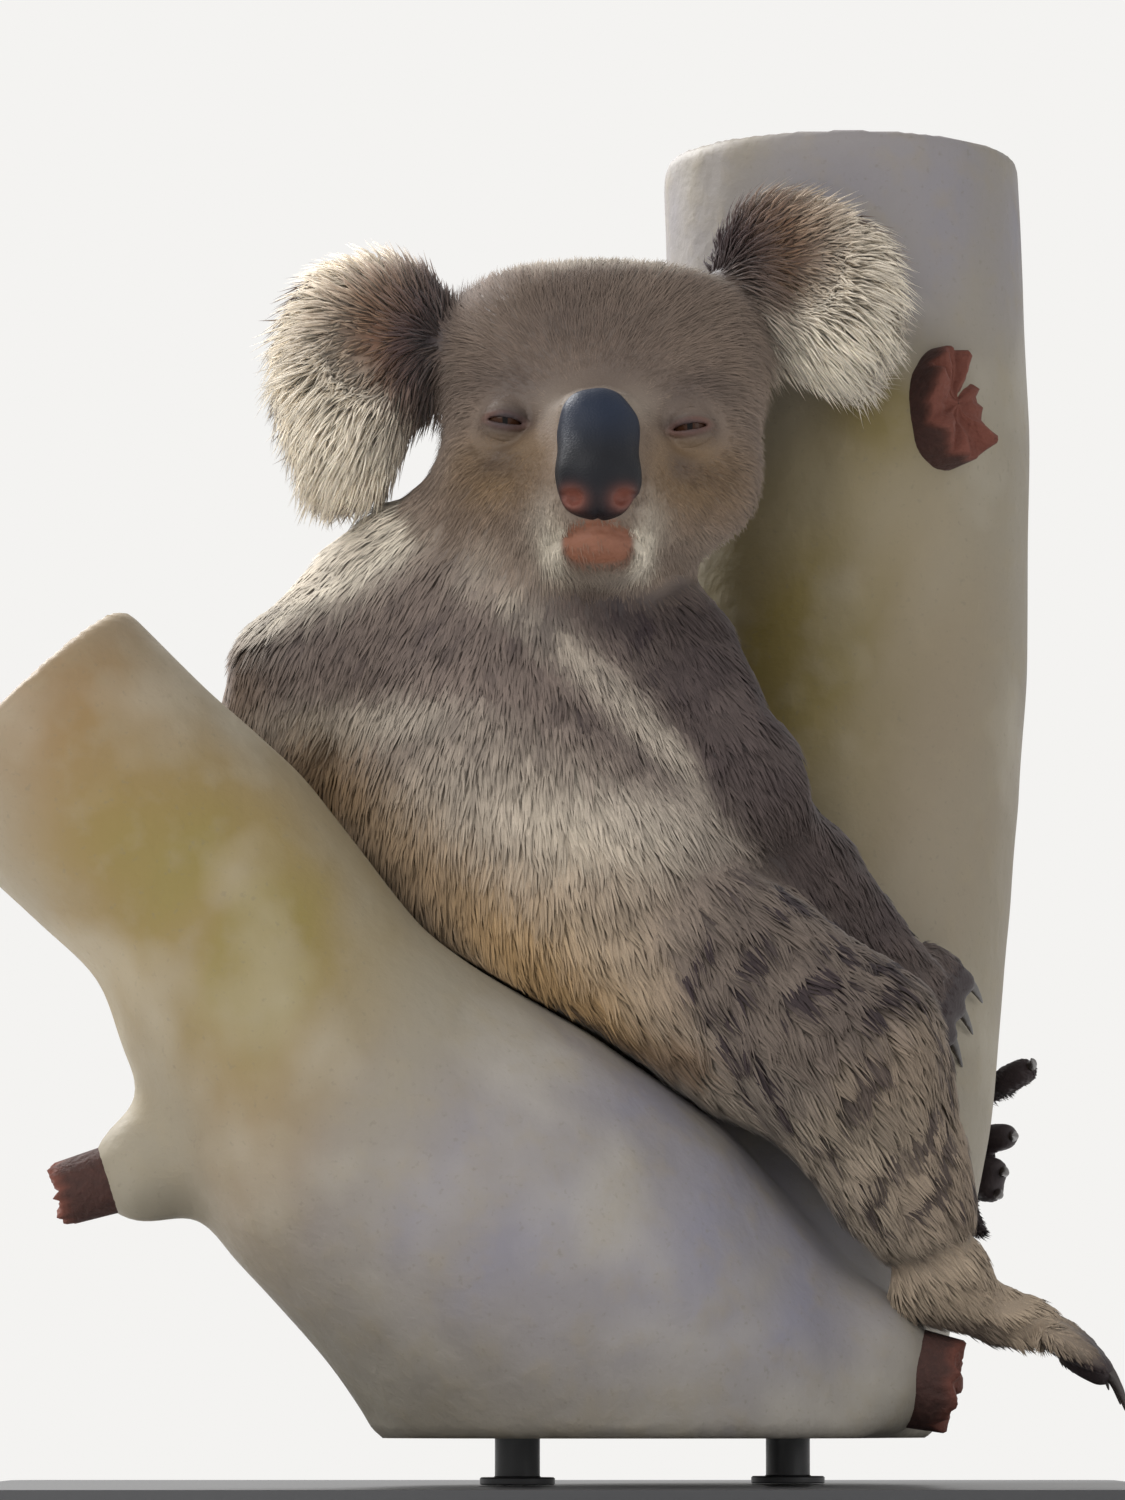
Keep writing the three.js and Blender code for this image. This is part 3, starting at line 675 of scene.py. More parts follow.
@functools.cache
def wood_near():
    """The perch as a coarse field, for keeping hair out of it."""
    block = Block(*span(WOOD, 30 * MM), 4 * MM)
    return block, block.closed_up(WOOD, 24 * MM)


# ---------------------------------------------------------------- markings with painted light and shade, and the lie of the coat


def soft_ball(points, centre, half):
    """1 at a centre, fading to 0 about one half-size away."""
    return np.exp(-(((points - centre) / (np.asarray(half, float) * MM)) ** 2).sum(-1))


def soft_line(points, start, end, reach):
    """1 along a line, fading to 0 about one reach away."""
    along = end - start
    share = np.clip((points - start) @ along / (along @ along), 0, 1)
    gap = np.linalg.norm(points - start - share[:, None] * along, axis=1)
    return np.exp(-((gap / (reach * MM)) ** 2))


# Patches of the coat seen from in front: across and up to the middle, half across and half up, in
# millimetres, and how much they add to the pale, dark and warm share of the hair.
PATCHES = {
    "shoulder point": ((-136, 350), (16, 16), (0, 0.15, 0.2)),
    "band over the upper arm": ((-66, 368), (62, 14), (0, 0.22, 0)),
    "inner arm": ((-82, 336), (46, 10), (0.42, 0, 0.05)),
    # Painted shade: the fold under the arm is darkened where shade falls in it.
    "painted shade in the fold under the arm": ((-88, 308), (14, 7), (-0.1, 0.3, 0.2)),
    "dappled chest": ((-6, 350), (30, 26), (-0.05, 0.16, 0)),
    "upper belly": ((-30, 306), (40, 26), (0.32, 0, 0.08)),
    "lower belly": ((20, 288), (44, 19), (0.4, 0, 0.04)),
    "flank": ((-4, 240), (48, 44), (0.36, 0, 0.42)),
}
# Lines of the coat seen from in front, as for the patches: two ends, half width and change.
LINES = {
    # Painted light: the top of the shoulder is made pale where light falls on it.
    "painted light on the top of the shoulder": ((-118, 384), (-50, 424), 12, (2.2, 0, 0.2)),
    "stripe beside the left arm": ((-18, 380), (78, 284), 8, (0.5, 0, 0.1)),
    "shade under the stripe": ((8, 333), (42, 307), 5, (0, 0.35, 0)),
    "edge of the left arm": ((26, 372), (92, 287), 13, (-0.1, 0.62, 0)),
    "flank along the limb": ((-96, 316), (6, 214), 18, (0.12, -0.1, 0.6)),
    "shade against the limb": ((-24, 222), (46, 196), 7, (-0.3, 0.45, 0.4)),
}


def speckles(points, across, along, seed):
    """Noise between 0 and 1 in streaks that lean from upper right to lower left, in millimetres."""
    lean = np.array([[0.86, 0, -0.5], [0, 1, 0], [0.5, 0, 0.86]])
    place = points @ lean.T / (np.array([across, across, along]) * MM) % 32
    noise = np.random.default_rng(seed).uniform(0, 1, (34, 34, 34))
    return Block((0, 0, 0), (32.9, 32.9, 32.9), 1.0).sample(noise, place)


def markings_and_painted_light(points, normals):
    """How pale, dark, warm and bare the koala is at each point, as four columns from 0 to 1, with painted
    light among the pale and painted shade among the dark.
    """
    body = anatomy()
    shares = body.coarse.sample(body.shares, points) ** 2.5
    shares /= np.maximum(shares.sum(1, keepdims=True), 1e-9)

    def share(*parts):
        """The joint share of the parts whose names start with one of these, at each point."""
        return sum(shares[:, i] for i, name in enumerate(FLESH) if name.startswith(parts))

    x, y, z = points.T
    front = ramp(-normals[:, 1], -0.3, 0.4)
    nose = middle("nose")
    mouth = corners("nose")[0][2] - 2 * MM
    marks = np.zeros((len(points), 4))
    # The flank runs on over the root of the right thigh, up to a slanting edge.
    edge = ramp(x + 0.5 * (z - 270 * MM), 14 * MM, 28 * MM)
    flank = share("thigh_right") * (1 - edge)
    marks[:, 1] += 0.75 * share("upper_arm_left", "forearm_left")
    marks[:, 1] += 0.12 * share("upper_arm_right", "forearm_right")
    marks[:, 1] += 0.3 * (share("thigh") - flank) + 0.16 * share("shank") + 0.5 * share("hand")
    marks[:, 0] += 0.22 * share("shank") + 0.3 * share("thigh", "shank") * ramp(-normals[:, 2], 0, 0.8)
    marks[:, 0] += 0.4 * share("foot") + 0.16 * (share("thigh") - flank)
    marks[:, 2] += 0.15 * share("thigh") + 0.3 * share("shank") + 0.4 * share("foot") + 0.15 * share("head")
    marks[:, 1] += 0.5 * (share("thigh") - flank) * np.exp(-(((edge - 0.75) / 0.3) ** 2))

    torso = (share("trunk", "neck", "upper_arm_right", "forearm_right") + flank) * front
    for (across, up), (half_across, half_up), change in PATCHES.values():
        away = ((x / MM - across) / half_across) ** 2 + ((z / MM - up) / half_up) ** 2
        marks[:, :3] += (torso * np.exp(-(away**1.4)))[:, None] * change
    flat = points * np.array([1, 0, 1])
    for start, end, reach, change in LINES.values():
        ends = [np.array([across, 0, up]) * MM for across, up in (start, end)]
        marks[:, :3] += (soft_line(flat, *ends, reach) * torso)[:, None] * change

    # Partings: short dark streaks over the legs, painted shade in the gaps between locks, and dots in rows
    # over the chest.
    streak = ramp(speckles(points, 4.4, 28, 5), 0.54, 0.74)
    marks[:, 1] += 0.66 * streak * (share("thigh", "shank") - flank)
    # The left foot is dark, and the undersides of the feet are darkened with painted shade over their dark
    # soles.
    marks[:, 1] += 0.8 * share("foot_left") + 0.6 * share("foot") * ramp(-normals[:, 2], 0.3, 0.8)
    dots = ramp(speckles(points, 4, 8, 6), 0.55, 0.8)
    chest = ramp(z, 300 * MM, 330 * MM) * share("trunk", "neck", "upper_arm_right")
    marks[:, 1] += 0.32 * dots * chest * front
    marks[:, 1] += 0.12 * ramp(speckles(points, 9, 18, 7), 0.4, 0.8)

    # The rump is dappled with pale patches, as on every koala.
    rump = share("trunk") * ramp(normals[:, 1], 0.1, 0.7) * (1 - ramp(z, 200 * MM, 290 * MM))
    marks[:, 0] += 0.55 * rump * ramp(speckles(points, 14, 20, 9), 0.42, 0.6)

    def spots(channel, amount, away, up, half, deep=30):
        """Adds to one share at the same place on both sides of the nose."""
        for turn in (-1, 1):
            place = np.array([nose[0] + turn * away * MM, nose[1], mouth + up * MM])
            marks[:, channel] += amount * soft_ball(points, place, (half[0], deep, half[1]))

    spots(0, 0.4, 24, 8, (7, 14))
    spots(0, 0.3, 15, 54, (12, 9))
    spots(0, 0.6, 19, -4, (6, 10), 45)
    # A pale patch low on each cheek: pale fur, made brighter with painted light.
    spots(0, 0.5, 47, -6, (10, 10), 45)
    # Painted shade: a dark band under the chin.
    spots(1, 0.35, 0, -24, (34, 7), 60)
    for side in SIDES:
        eye = middle(f"eye_{side}")
        outward = np.sign(eye[0] - nose[0])
        under = soft_ball(points, eye + np.array([-1.5 * outward, 0, -18]) * MM, (17, 40, 13))
        marks[:, :3] += under[:, None] * np.array([-0.3, 0.76, 1.1])
        marks[:, 1] += 0.85 * soft_ball(points, eye, (11, 20, 5))
        marks[:, 1] += 0.42 * soft_ball(points, eye + np.array([0, 0, 15]) * MM, (18, 30, 9))
        across, up = lid_place(x, z, side)
        lid = np.sqrt((across / (8 * MM)) ** 2 + (up / (3.4 * MM)) ** 2)
        marks[:, 3] += ramp(-lid, -1.4, -0.8) * (np.abs(y - eye[1]) < 16 * MM)
        own = share(f"ear_{side}")
        root, size = ear_root(side)
        out = np.linalg.norm((points - root)[:, [0, 2]], axis=1) / size
        # An ear is pale in front, and grey behind with a pale fringe.
        marks[:, 0] += own * np.maximum(ramp(out, 0.16, 0.52) * front, 0.8 * ramp(out, 0.6, 1))
        # Painted shade: the ear is dark near its root, and so is the head round the root, where the ear meets
        # the head.
        marks[:, 1] += 0.95 * own * (1 - ramp(out, 0.12, 0.38))
        marks[:, 1] += 0.6 * soft_ball(points, root, (18, 30, 26)) * share("head")
        inside = body.cups[side] + 0.14 * (root - body.cups[side]) + np.array([0, 0, 5]) * MM
        cup = soft_ball(points, inside, (18, 18, 18)) * own
        marks += cup[:, None] * np.array([-0.9, 0.1, 0.6, 0.8])
    for claw in CLAWS:
        marks[:, 1] += 0.9 * soft_ball(points, middle(claw), (20, 20, 20))
    lip = (np.abs(x - nose[0]) / (13.5 * MM)) ** 3 + (np.abs(z - mouth + 4.5 * MM) / (8 * MM)) ** 3
    lip **= 1 / 3
    near = y < nose[1] + 45 * MM
    beard = 1 - 0.7 * ramp(mouth - z, 6 * MM, 14 * MM)
    marks[:, 0] += np.exp(-(((lip - 1.4) / 0.26) ** 2)) * near * (z < mouth + 2 * MM) * beard
    lip = ramp(-lip, -1.12, -0.92) * near
    marks[:, 3] += lip
    marks[:, :2] *= 1 - lip[:, None]
    forehead = np.exp(-(((x - nose[0]) / (42 * MM)) ** 2) - ((z - 487 * MM) / (26 * MM)) ** 2)
    marks[:, 1] += 0.42 * forehead * share("head")
    # Painted light: the top of the crown is made pale where light falls on it.
    marks[:, 0] += 0.6 * share("head") * ramp(normals[:, 2], 0.75, 1) * ramp(z, 500 * MM, 515 * MM)
    return np.clip(marks, 0, 1)


def ear_root(side):
    """Where an ear meets the head, and how far its tips are from there."""
    low, high = corners(f"ear_{side}")
    inner = high[0] if middle(f"ear_{side}")[0] < middle("head")[0] else low[0]
    size = high - low
    return np.array([inner, (low[1] + high[1]) / 2, high[2] - 0.38 * size[2]]), 0.5 * (size[0] + size[2])


def headings(points, shares):
    """The way the coat lies at each point, before it is pressed onto the skin."""
    nose = middle("nose")
    whorl = nose + np.array([0, 22 * MM, 4 * MM])
    total = np.zeros_like(points)
    for i, name in enumerate(FLESH):
        weight = shares[:, i : i + 1]
        part, _, side = name.rpartition("_")
        if not np.any(weight > 0.01):
            continue
        if name == "head":
            way = unit(points - whorl) + np.array([0, 0.5, 0])
        elif name in ("neck", "trunk"):
            way = unit((points - middle("trunk")) * np.array([1, 0.4, 0]) + np.array([0, 0, -0.09]))
        elif part == "ear":
            cup = anatomy().cups[side] + np.array([0, 8, 0]) * MM
            way = 0.7 * unit(points - cup) + unit(points - ear_root(side)[0])
            way = way + np.array([0, 0, -0.25 if side == "right" else 0])
        else:
            chain = ARM if part in ARM else LEG
            place = chain.index(part)
            start = middle(f"{chain[max(place - 1, 0)]}_{side}")
            end = middle(f"{chain[min(place + 1, 2)]}_{side}")
            if place == 2:
                roots = [claw_root(claw) for claw in CLAWS if paw_of(claw) == name]
                start, end = middle(name), sum(roots) / len(roots)
            way = np.broadcast_to(unit(end - start), points.shape)
        total += weight * way
    return total


def coat_lengths(points, shares, tone):
    """The length of a tuft and the thickness of the growth at each point, as shares of the usual ones."""
    body = anatomy()
    nose = middle("nose")
    head = shares[:, FLESH.index("head")]
    away = np.linalg.norm(points - nose, axis=1)
    long = 1 - head * (1 - (0.32 + 0.95 * ramp(away, 22 * MM, 105 * MM)))
    thick = 1 + head * 1.3 * (1 - ramp(away, 30 * MM, 80 * MM))
    for side in SIDES:
        ball, radius = eye_ball(side)
        gap = np.linalg.norm(points - ball, axis=1)
        long *= 0.4 + 0.6 * ramp(gap, radius, radius + 14 * MM)
        across, up = lid_place(points[:, 0], points[:, 2], side)
        socket = np.sqrt((across / (10.5 * MM)) ** 2 + (up / (4.8 * MM)) ** 2)
        thick *= np.where(gap < 2 * radius, ramp(socket, 0.9, 1.15), 1)
        cup = soft_ball(points, body.cups[side] + np.array([0, 6, 0]) * MM, (15, 16, 19))
        long *= 1 - 0.7 * cup
        thick *= 1 - 0.9 * cup
    for claw in CLAWS:
        long *= 1 - 0.7 * soft_ball(points, middle(claw), (24, 24, 24))
    thick *= 1 - 0.95 * ramp(tone[:, 3], 0.5, 0.9)
    pad = np.linalg.norm((points - nose) / (corners("nose")[1] - corners("nose")[0]), axis=1)
    thick *= ramp(pad, 0.44, 0.54)
    return long, thick


# ---------------------------------------------------------------- coat


def scatter_roots(count, rng):
    """Random root places on the skin, closer together where the coat is finer."""
    body = anatomy()
    points, quads, normals = skin_surface()
    shares = body.coarse.sample(body.shares, points)
    tone = markings_and_painted_light(points, normals)
    _, thick = coat_lengths(points, shares, tone)
    density = body.by_part("density", body.coarse.sample(body.wide, points)) * thick
    block, wood = wood_near()
    density *= ramp(block.sample(wood, points), 0.5 * MM, 3 * MM)
    a, b, c, d = (points[quads[:, i]] for i in range(4))
    area = np.linalg.norm(np.cross(c - a, d - b), axis=1) / 2
    chance = area * density[quads].mean(1)
    chosen = rng.choice(len(quads), count, p=chance / chance.sum())
    u, v = rng.uniform(size=(2, count, 1))
    a, b, c, d = (points[quads[chosen, i]] for i in range(4))
    roots = (1 - u) * ((1 - v) * a + v * b) + u * ((1 - v) * d + v * c)
    return roots, body.block.slope(body.skin, roots)


def gather_to(roots, crowd, rng):
    """For each root, the index of the root whose tip it leans towards, with a given crowd to each."""
    seeds = np.flatnonzero(rng.uniform(size=len(roots)) < 1 / crowd)
    tree = KDTree(len(seeds))
    for i in seeds:
        tree.insert(roots[i], int(i))
    tree.balance()
    return np.array([tree.find(root)[1] for root in roots])


def kept_out_of_wood(points, clearance=0.8 * MM):
    """Points moved out of the perch where they would lie inside it."""
    block, wood = wood_near()
    depth = np.minimum(block.sample(wood, points) - clearance, 0)
    touched = depth < 0
    points = points.copy()
    points[touched] -= depth[touched, None] * block.slope(wood, points[touched])
    return points


# A tuft's cross-section, across and up in half widths, and how wide it is at each bend.
RING = ((1, 0), (0, 0.7), (-1, 0))
RING_WIDTHS = (0.85, 1.0)


class Coat:
    """Every tuft of the coat: its root, its bends, its tip, its width and its colours."""

    def __init__(self, count, length_share, rng):
        body = anatomy()
        self.roots, self.normals = scatter_roots(count, rng)
        shares = body.coarse.sample(body.shares, self.roots)
        wide = body.coarse.sample(body.wide, self.roots)
        self.part = np.argmax(shares, 1)
        self.tone = markings_and_painted_light(self.roots, self.normals)
        long, _ = coat_lengths(self.roots, shares, self.tone)
        size = len(self.roots)
        ear = shares[:, [name.startswith("ear") for name in FLESH]].sum(1)
        ragged = 0.2 + 0.35 * ear
        length = body.by_part("length", wide) * long * MM * length_share
        length *= 1 + ragged * rng.uniform(-1.2, 1, size)
        lift = np.radians(body.by_part("lift", wide) * rng.uniform(0.55, 1.35, size))
        level = body.by_part("gather", wide)
        gather = level * rng.uniform(0.7, 1.2, size)
        # Roots are darker where locks gather, painted shade, and the tips of the ears' hair lighter, painted
        # light.
        self.root_shade = 0.95 - 0.6 * level
        self.tip_light = 1.06 + 0.4 * ear
        self.width = body.by_part("width", wide) * rng.uniform(0.75, 1.2, size) * MM
        self.width *= np.sqrt(USUAL_TUFTS / count)
        way = headings(self.roots, wide)
        way = unit(way) + rng.normal(0, 0.16, way.shape)
        way -= (way * self.normals).sum(1, keepdims=True) * self.normals
        self.way = unit(way)
        self.across = np.cross(self.way, self.normals)
        self.clump = gather_to(self.roots, 9 + 42 * level, rng)
        self.clump_shade = rng.uniform(0, 1, size)[self.clump]
        self.shade = rng.uniform(0, 1, size)
        self.gather, self.length, self.lift = gather, length, lift

    def bend(self, t):
        """The middle of every tuft, t of the way along it."""
        rise = np.sin(self.lift) * (t - 0.45 * t * t)
        reach = np.cos(self.lift) * t
        line = self.roots - 0.5 * MM * self.normals
        line = line + (self.length * reach)[:, None] * self.way + (self.length * rise)[:, None] * self.normals
        line[:, 2] -= 0.1 * self.length * t * t
        lean = np.minimum(self.gather, 0.85) * t**1.5 * self.close
        line += lean[:, None] * (line[self.clump] - line)
        return kept_out_of_wood(line) if t > 0 else line

    @functools.cached_property
    def close(self):
        """0 where the gathering root is too far off to lean to, else 1."""
        gap = np.linalg.norm(self.roots[self.clump] - self.roots, axis=1)
        return 1 - ramp(gap, 0.5 * self.length, 0.9 * self.length)

    def tufts(self, chosen, bends):
        """Points, triangles, normals and attributes of the chosen tufts, with a ring at each bend."""
        widths = RING_WIDTHS[: len(bends)]
        count = len(chosen)
        across, normal = self.across[chosen], self.normals[chosen]
        width = self.width[chosen, None]
        rows, rows_normal, along = [], [], []
        for t, share in zip(bends, widths):
            line = self.bend(t)[chosen]
            for side, up in RING:
                rows.append(line + share * width * (side * across + up * normal))
                rows_normal.append(unit(normal + 0.55 * side * across))
                along.append(t)
        rows.append(self.bend(1.0)[chosen])
        rows_normal.append(normal)
        along.append(1.0)
        each = len(rows)
        points = np.stack(rows, 1).reshape(-1, 3)
        normals = np.stack(rows_normal, 1).reshape(-1, 3)
        pattern = [(0, 1, 2)]
        for ring in range(len(bends) - 1):
            for i in range(3):
                a, b = 3 * ring + i, 3 * ring + (i + 1) % 3
                pattern += [(a, b + 3, b), (a, a + 3, b + 3)]
        last = 3 * (len(bends) - 1)
        pattern += [(last + i, each - 1, last + (i + 1) % 3) for i in range(3)]
        faces = (np.arange(count)[:, None, None] * each + np.array(pattern)).reshape(-1, 3)
        strand = np.ones((count, each, 4), np.float32)
        root, tip = self.root_shade[chosen, None], self.tip_light[chosen, None]
        strand[..., 0] = root + (tip - root) * ramp(np.array(along), -0.1, 0.85)
        strand[..., 1] = self.shade[chosen, None]
        strand[..., 2] = self.clump_shade[chosen, None]
        tone = np.repeat(self.tone[chosen], each, 0)
        return points, faces, normals, {"tone": tone, "strand": strand.reshape(-1, 4)}, np.array(along)


BAKE_PATCH = 0.003  # width of a tuft's patch on the unwrap


def unwrap_onto(piece, roots, normals, each, along):
    """Gives a coat piece the map OFBake: each tuft is a small patch at its root's place on six charts.

    The charts are the six sides of a box around the skin that the tufts grow from.
    """
    low, high = roots.min(0), roots.max(0)
    place = (roots - low) / (high - low).max()
    facing = np.argmax(np.abs(normals), 1)
    behind = np.take_along_axis(normals, facing[:, None], 1)[:, 0] < 0
    others = np.array([[1, 2], [0, 2], [0, 1]])[facing]
    chart = np.take_along_axis(place, others, 1)
    corner = np.stack([facing, behind], 1) + 0.03 + 0.94 * chart
    root_place = corner / np.array([3, 2])
    side = np.array([[0.5, 0, -0.5][i % 3] if i < each - 1 else 0 for i in range(each)])
    shift = BAKE_PATCH * np.stack([side, np.asarray(along) - 0.5], 1)
    spot = (root_place[:, None] + shift[None]).reshape(-1, 2)
    mesh = piece.data
    corner_of = np.empty(len(mesh.loops), np.int32)
    mesh.loops.foreach_get("vertex_index", corner_of)
    layer = mesh.uv_layers.new(name="OFBake")
    layer.data.foreach_set("uv", spot[corner_of].astype(np.float32).ravel())


COAT_PIECES = {
    "coat_head": ["head"],
    "coat_neck": ["neck"],
    "coat_ear_right": ["ear_right"],
    "coat_ear_left": ["ear_left"],
    "coat_trunk": ["trunk"],
    "coat_arm_right": [f"{part}_right" for part in ARM],
    "coat_arm_left": [f"{part}_left" for part in ARM],
    "coat_leg_right": [f"{part}_right" for part in LEG],
    "coat_leg_left": [f"{part}_left" for part in LEG],
}
PIECE_TRIANGLES = 190000  # the most that one piece of the coat may have


def channels(tree, attribute):
    """The red, green, blue and alpha of one of a piece's own attributes."""
    found = add(tree, "ShaderNodeAttribute", attribute_name=attribute)
    parts = add(tree, "ShaderNodeSeparateColor", {"Color": found.outputs["Color"]})
    return [parts.outputs[name] for name in ("Red", "Green", "Blue")] + [found.outputs["Alpha"]]


def coat_colour(tree, settings):
    """The colour of the koala's hair and skin, with how dark and how bare it is.

    It comes from the markings, with their painted light and shade, and from the place along a hair.
    """
    pale, dark, warm, bare = channels(tree, "tone")
    light, hair, lock, _ = channels(tree, "strand")
    colour = settings.grey_hair
    for share, layer in ((pale, settings.pale_hair_and_light), (warm, settings.warm_hair), (dark, settings.dark_hair_and_shade)):
        colour = add(tree, "ShaderNodeMix", {"Factor": share, "A": colour, "B": layer}, data_type="RGBA")
    # Hair is dark at the root and light at the tip, its own colour with painted shade at the roots where
    # locks gather and painted light at the tips of the ears' hair; no two locks are quite alike, and fibres
    # are 0.4 mm.
    place = add(tree, "ShaderNodeTexCoord")
    fibre = add(tree, "ShaderNodeTexNoise", sized(place, 0.4 * MM))
    spreads = (
        {"Value": lock, "To Min": 0.88, "To Max": 1.1},
        {"Value": hair, "To Min": 0.84, "To Max": 1.14},
        {"Value": fibre, "From Min": 0.3, "From Max": 0.7, "To Min": 0.88, "To Max": 1.1},
    )
    for factor in (light, *(add(tree, "ShaderNodeMapRange", spread) for spread in spreads)):
        colour = add(tree, "ShaderNodeVectorMath", {"Vector": colour, "Scale": factor}, operation="SCALE")
    return colour, dark, bare


def hair_material(settings):
    """Keratin hair, dense and dry: it scatters light softly, with a faint sheen along the tips."""
    made, tree = new_material("koala_hair")
    colour, _, bare = coat_colour(tree, settings)
    # Where skin is bare, the few short hairs take its tint.
    sparse = add(tree, "ShaderNodeMapRange", {"Value": bare, "To Max": 0.6})
    tint = {"Factor": sparse, "A": colour, "B": settings.bare_skin}
    colour = add(tree, "ShaderNodeMix", tint, data_type="RGBA")
    close_material(tree, colour, 0.82, Specular_IOR_Level=0.25, Sheen_Weight=0.12, Sheen_Roughness=0.5)
    return made


def skin_material(settings):
    """Skin under fur: the coat's own markings, with their painted light and shade, where hair covers it, and
    pink where it is bare.
    """
    made, tree = new_material("koala_skin")
    colour, dark, bare = coat_colour(tree, settings)
    shaded = {"Factor": dark, "A": settings.bare_skin, "B": settings.dark_hair_and_shade}
    naked = add(tree, "ShaderNodeMix", shaded, data_type="RGBA")
    colour = add(tree, "ShaderNodeMix", {"Factor": bare, "A": colour, "B": naked}, data_type="RGBA")
    # Creases of bare skin are about 1.5 mm apart.
    place = add(tree, "ShaderNodeTexCoord")
    crease = add(tree, "ShaderNodeTexNoise", sized(place, 1.5 * MM, Detail=3.0))
    close_material(tree, colour, 0.6, crease, 0.3 * MM, Specular_IOR_Level=0.35)
    return made


# ---------------------------------------------------------------- face


def eye_material(settings):
    """A wet eye: brown iris around an upright slit pupil, under a clear smooth cornea."""
    made, tree = new_material("wet_eye")
    place = add(tree, "ShaderNodeTexCoord")
    parts = add(tree, "ShaderNodeSeparateXYZ", {"Vector": place.outputs["Object"]})
    flat = add(tree, "ShaderNodeCombineXYZ", {"X": parts.outputs["X"], "Z": parts.outputs["Z"]})
    far = add(tree, "ShaderNodeVectorMath", {"Vector": flat}, operation="LENGTH")
    narrow = add(tree, "ShaderNodeVectorMath", {0: flat, 1: (2.6, 1, 0.8)}, operation="MULTIPLY")
    slit = add(tree, "ShaderNodeVectorMath", {"Vector": narrow}, operation="LENGTH")
    # The iris has fibres of 0.6 mm, from a slit pupil about 3 mm out to a dark rim at 7 mm.
    fibres = add(tree, "ShaderNodeTexNoise", sized(place, 0.6 * MM))
    shade = [c * 0.45 for c in settings.iris[:3]] + [1]
    brown = {"Factor": fibres, "A": settings.iris, "B": shade}
    colour = add(tree, "ShaderNodeMix", brown, data_type="RGBA")
    pupil = {"Value": slit.outputs["Value"], "From Min": 3.2 * MM, "From Max": 2.6 * MM}
    rim = {"Value": far.outputs["Value"], "From Min": 6.2 * MM, "From Max": 7.4 * MM}
    for edge, layer in ((pupil, (0.004, 0.003, 0.003, 1)), (rim, paint("2a1d18"))):
        share = add(tree, "ShaderNodeMapRange", edge)
        colour = add(tree, "ShaderNodeMix", {"Factor": share, "A": colour, "B": layer}, data_type="RGBA")
    gloss = dict(Specular_IOR_Level=0.12, Coat_Weight=0.12, Coat_Roughness=0.03, IOR=1.376)
    close_material(tree, colour, 0.2, **gloss)
    return made


def nose_material(settings):
    """A bare nose pad: black leathery skin with a fine pebble grain, faintly moist, with a painted blue sheen
    on its top.
    """
    made, tree = new_material("nose_leather")
    pink, painted_sheen, _, _ = channels(tree, "tone")
    place = add(tree, "ShaderNodeTexCoord")
    # The pebbles of the pad are about 0.9 mm across.
    pebble = add(tree, "ShaderNodeTexVoronoi", sized(place, 0.9 * MM))
    # Painted reflection: the top of the pad is tinted blue like a sheen of sky.
    colour = settings.nose_black
    for share, layer in ((painted_sheen, paint("1f2839")), (pink, settings.nostril_pink)):
        colour = add(tree, "ShaderNodeMix", {"Factor": share, "A": colour, "B": layer}, data_type="RGBA")
    close_material(tree, colour, 0.52, pebble.outputs["Distance"], 0.12 * MM, Specular_IOR_Level=0.2)
    return made


def horn_material(settings):
    """Claw horn: dark keratin, polished by climbing, with a grain of about 1.2 mm."""
    made, tree = new_material("claw_horn")
    place = add(tree, "ShaderNodeTexCoord")
    grain = add(tree, "ShaderNodeTexNoise", sized(place, 1.2 * MM, Detail=4.0))
    wear = {"Factor": grain, "A": settings.horn, "B": paint("3b312b")}
    worn = add(tree, "ShaderNodeMix", wear, data_type="RGBA")
    close_material(tree, worn, 0.45, grain, 0.08 * MM, IOR=1.54)
    return made


# ---------------------------------------------------------------- perch


def bark_material(settings):
    """Smooth gum bark: pale and waxy, shed in patches, with fine wrinkles and small scars."""
    made, tree = new_material("gum_bark")
    tan, olive, grey, _ = channels(tree, "tone")
    place = add(tree, "ShaderNodeTexCoord")
    # Patches are about 90 mm across, mottling 14 mm and pores 2.5 mm.
    patches = add(tree, "ShaderNodeTexNoise", sized(place, 90 * MM, Detail=3.0))
    mottle = add(tree, "ShaderNodeTexNoise", sized(place, 14 * MM, Detail=6.0))
    pores = add(tree, "ShaderNodeTexNoise", sized(place, 2.5 * MM, Detail=3.0))
    shed = {"Value": patches, "From Min": 0.52, "From Max": 0.66, "To Max": 0.3}
    stain = {"Value": mottle, "From Min": 0.5, "From Max": 0.75, "To Max": 0.35}
    speck = {"Value": pores, "From Min": 0.62, "From Max": 0.74, "To Max": 0.3}
    layers = [(tan, settings.bark_tan), (olive, settings.bark_olive), (grey, settings.bark_grey)]
    for spread, code in ((shed, "b8b1a2"), (stain, "8f836b"), (speck, "6e6657")):
        layers.append((add(tree, "ShaderNodeMapRange", spread), paint(code)))
    colour = settings.bark_pale
    for share, layer in layers:
        colour = add(tree, "ShaderNodeMix", {"Factor": share, "A": colour, "B": layer}, data_type="RGBA")
    close_material(tree, colour, 0.62, mottle, 1.2 * MM, Specular_IOR_Level=0.35)
    return made


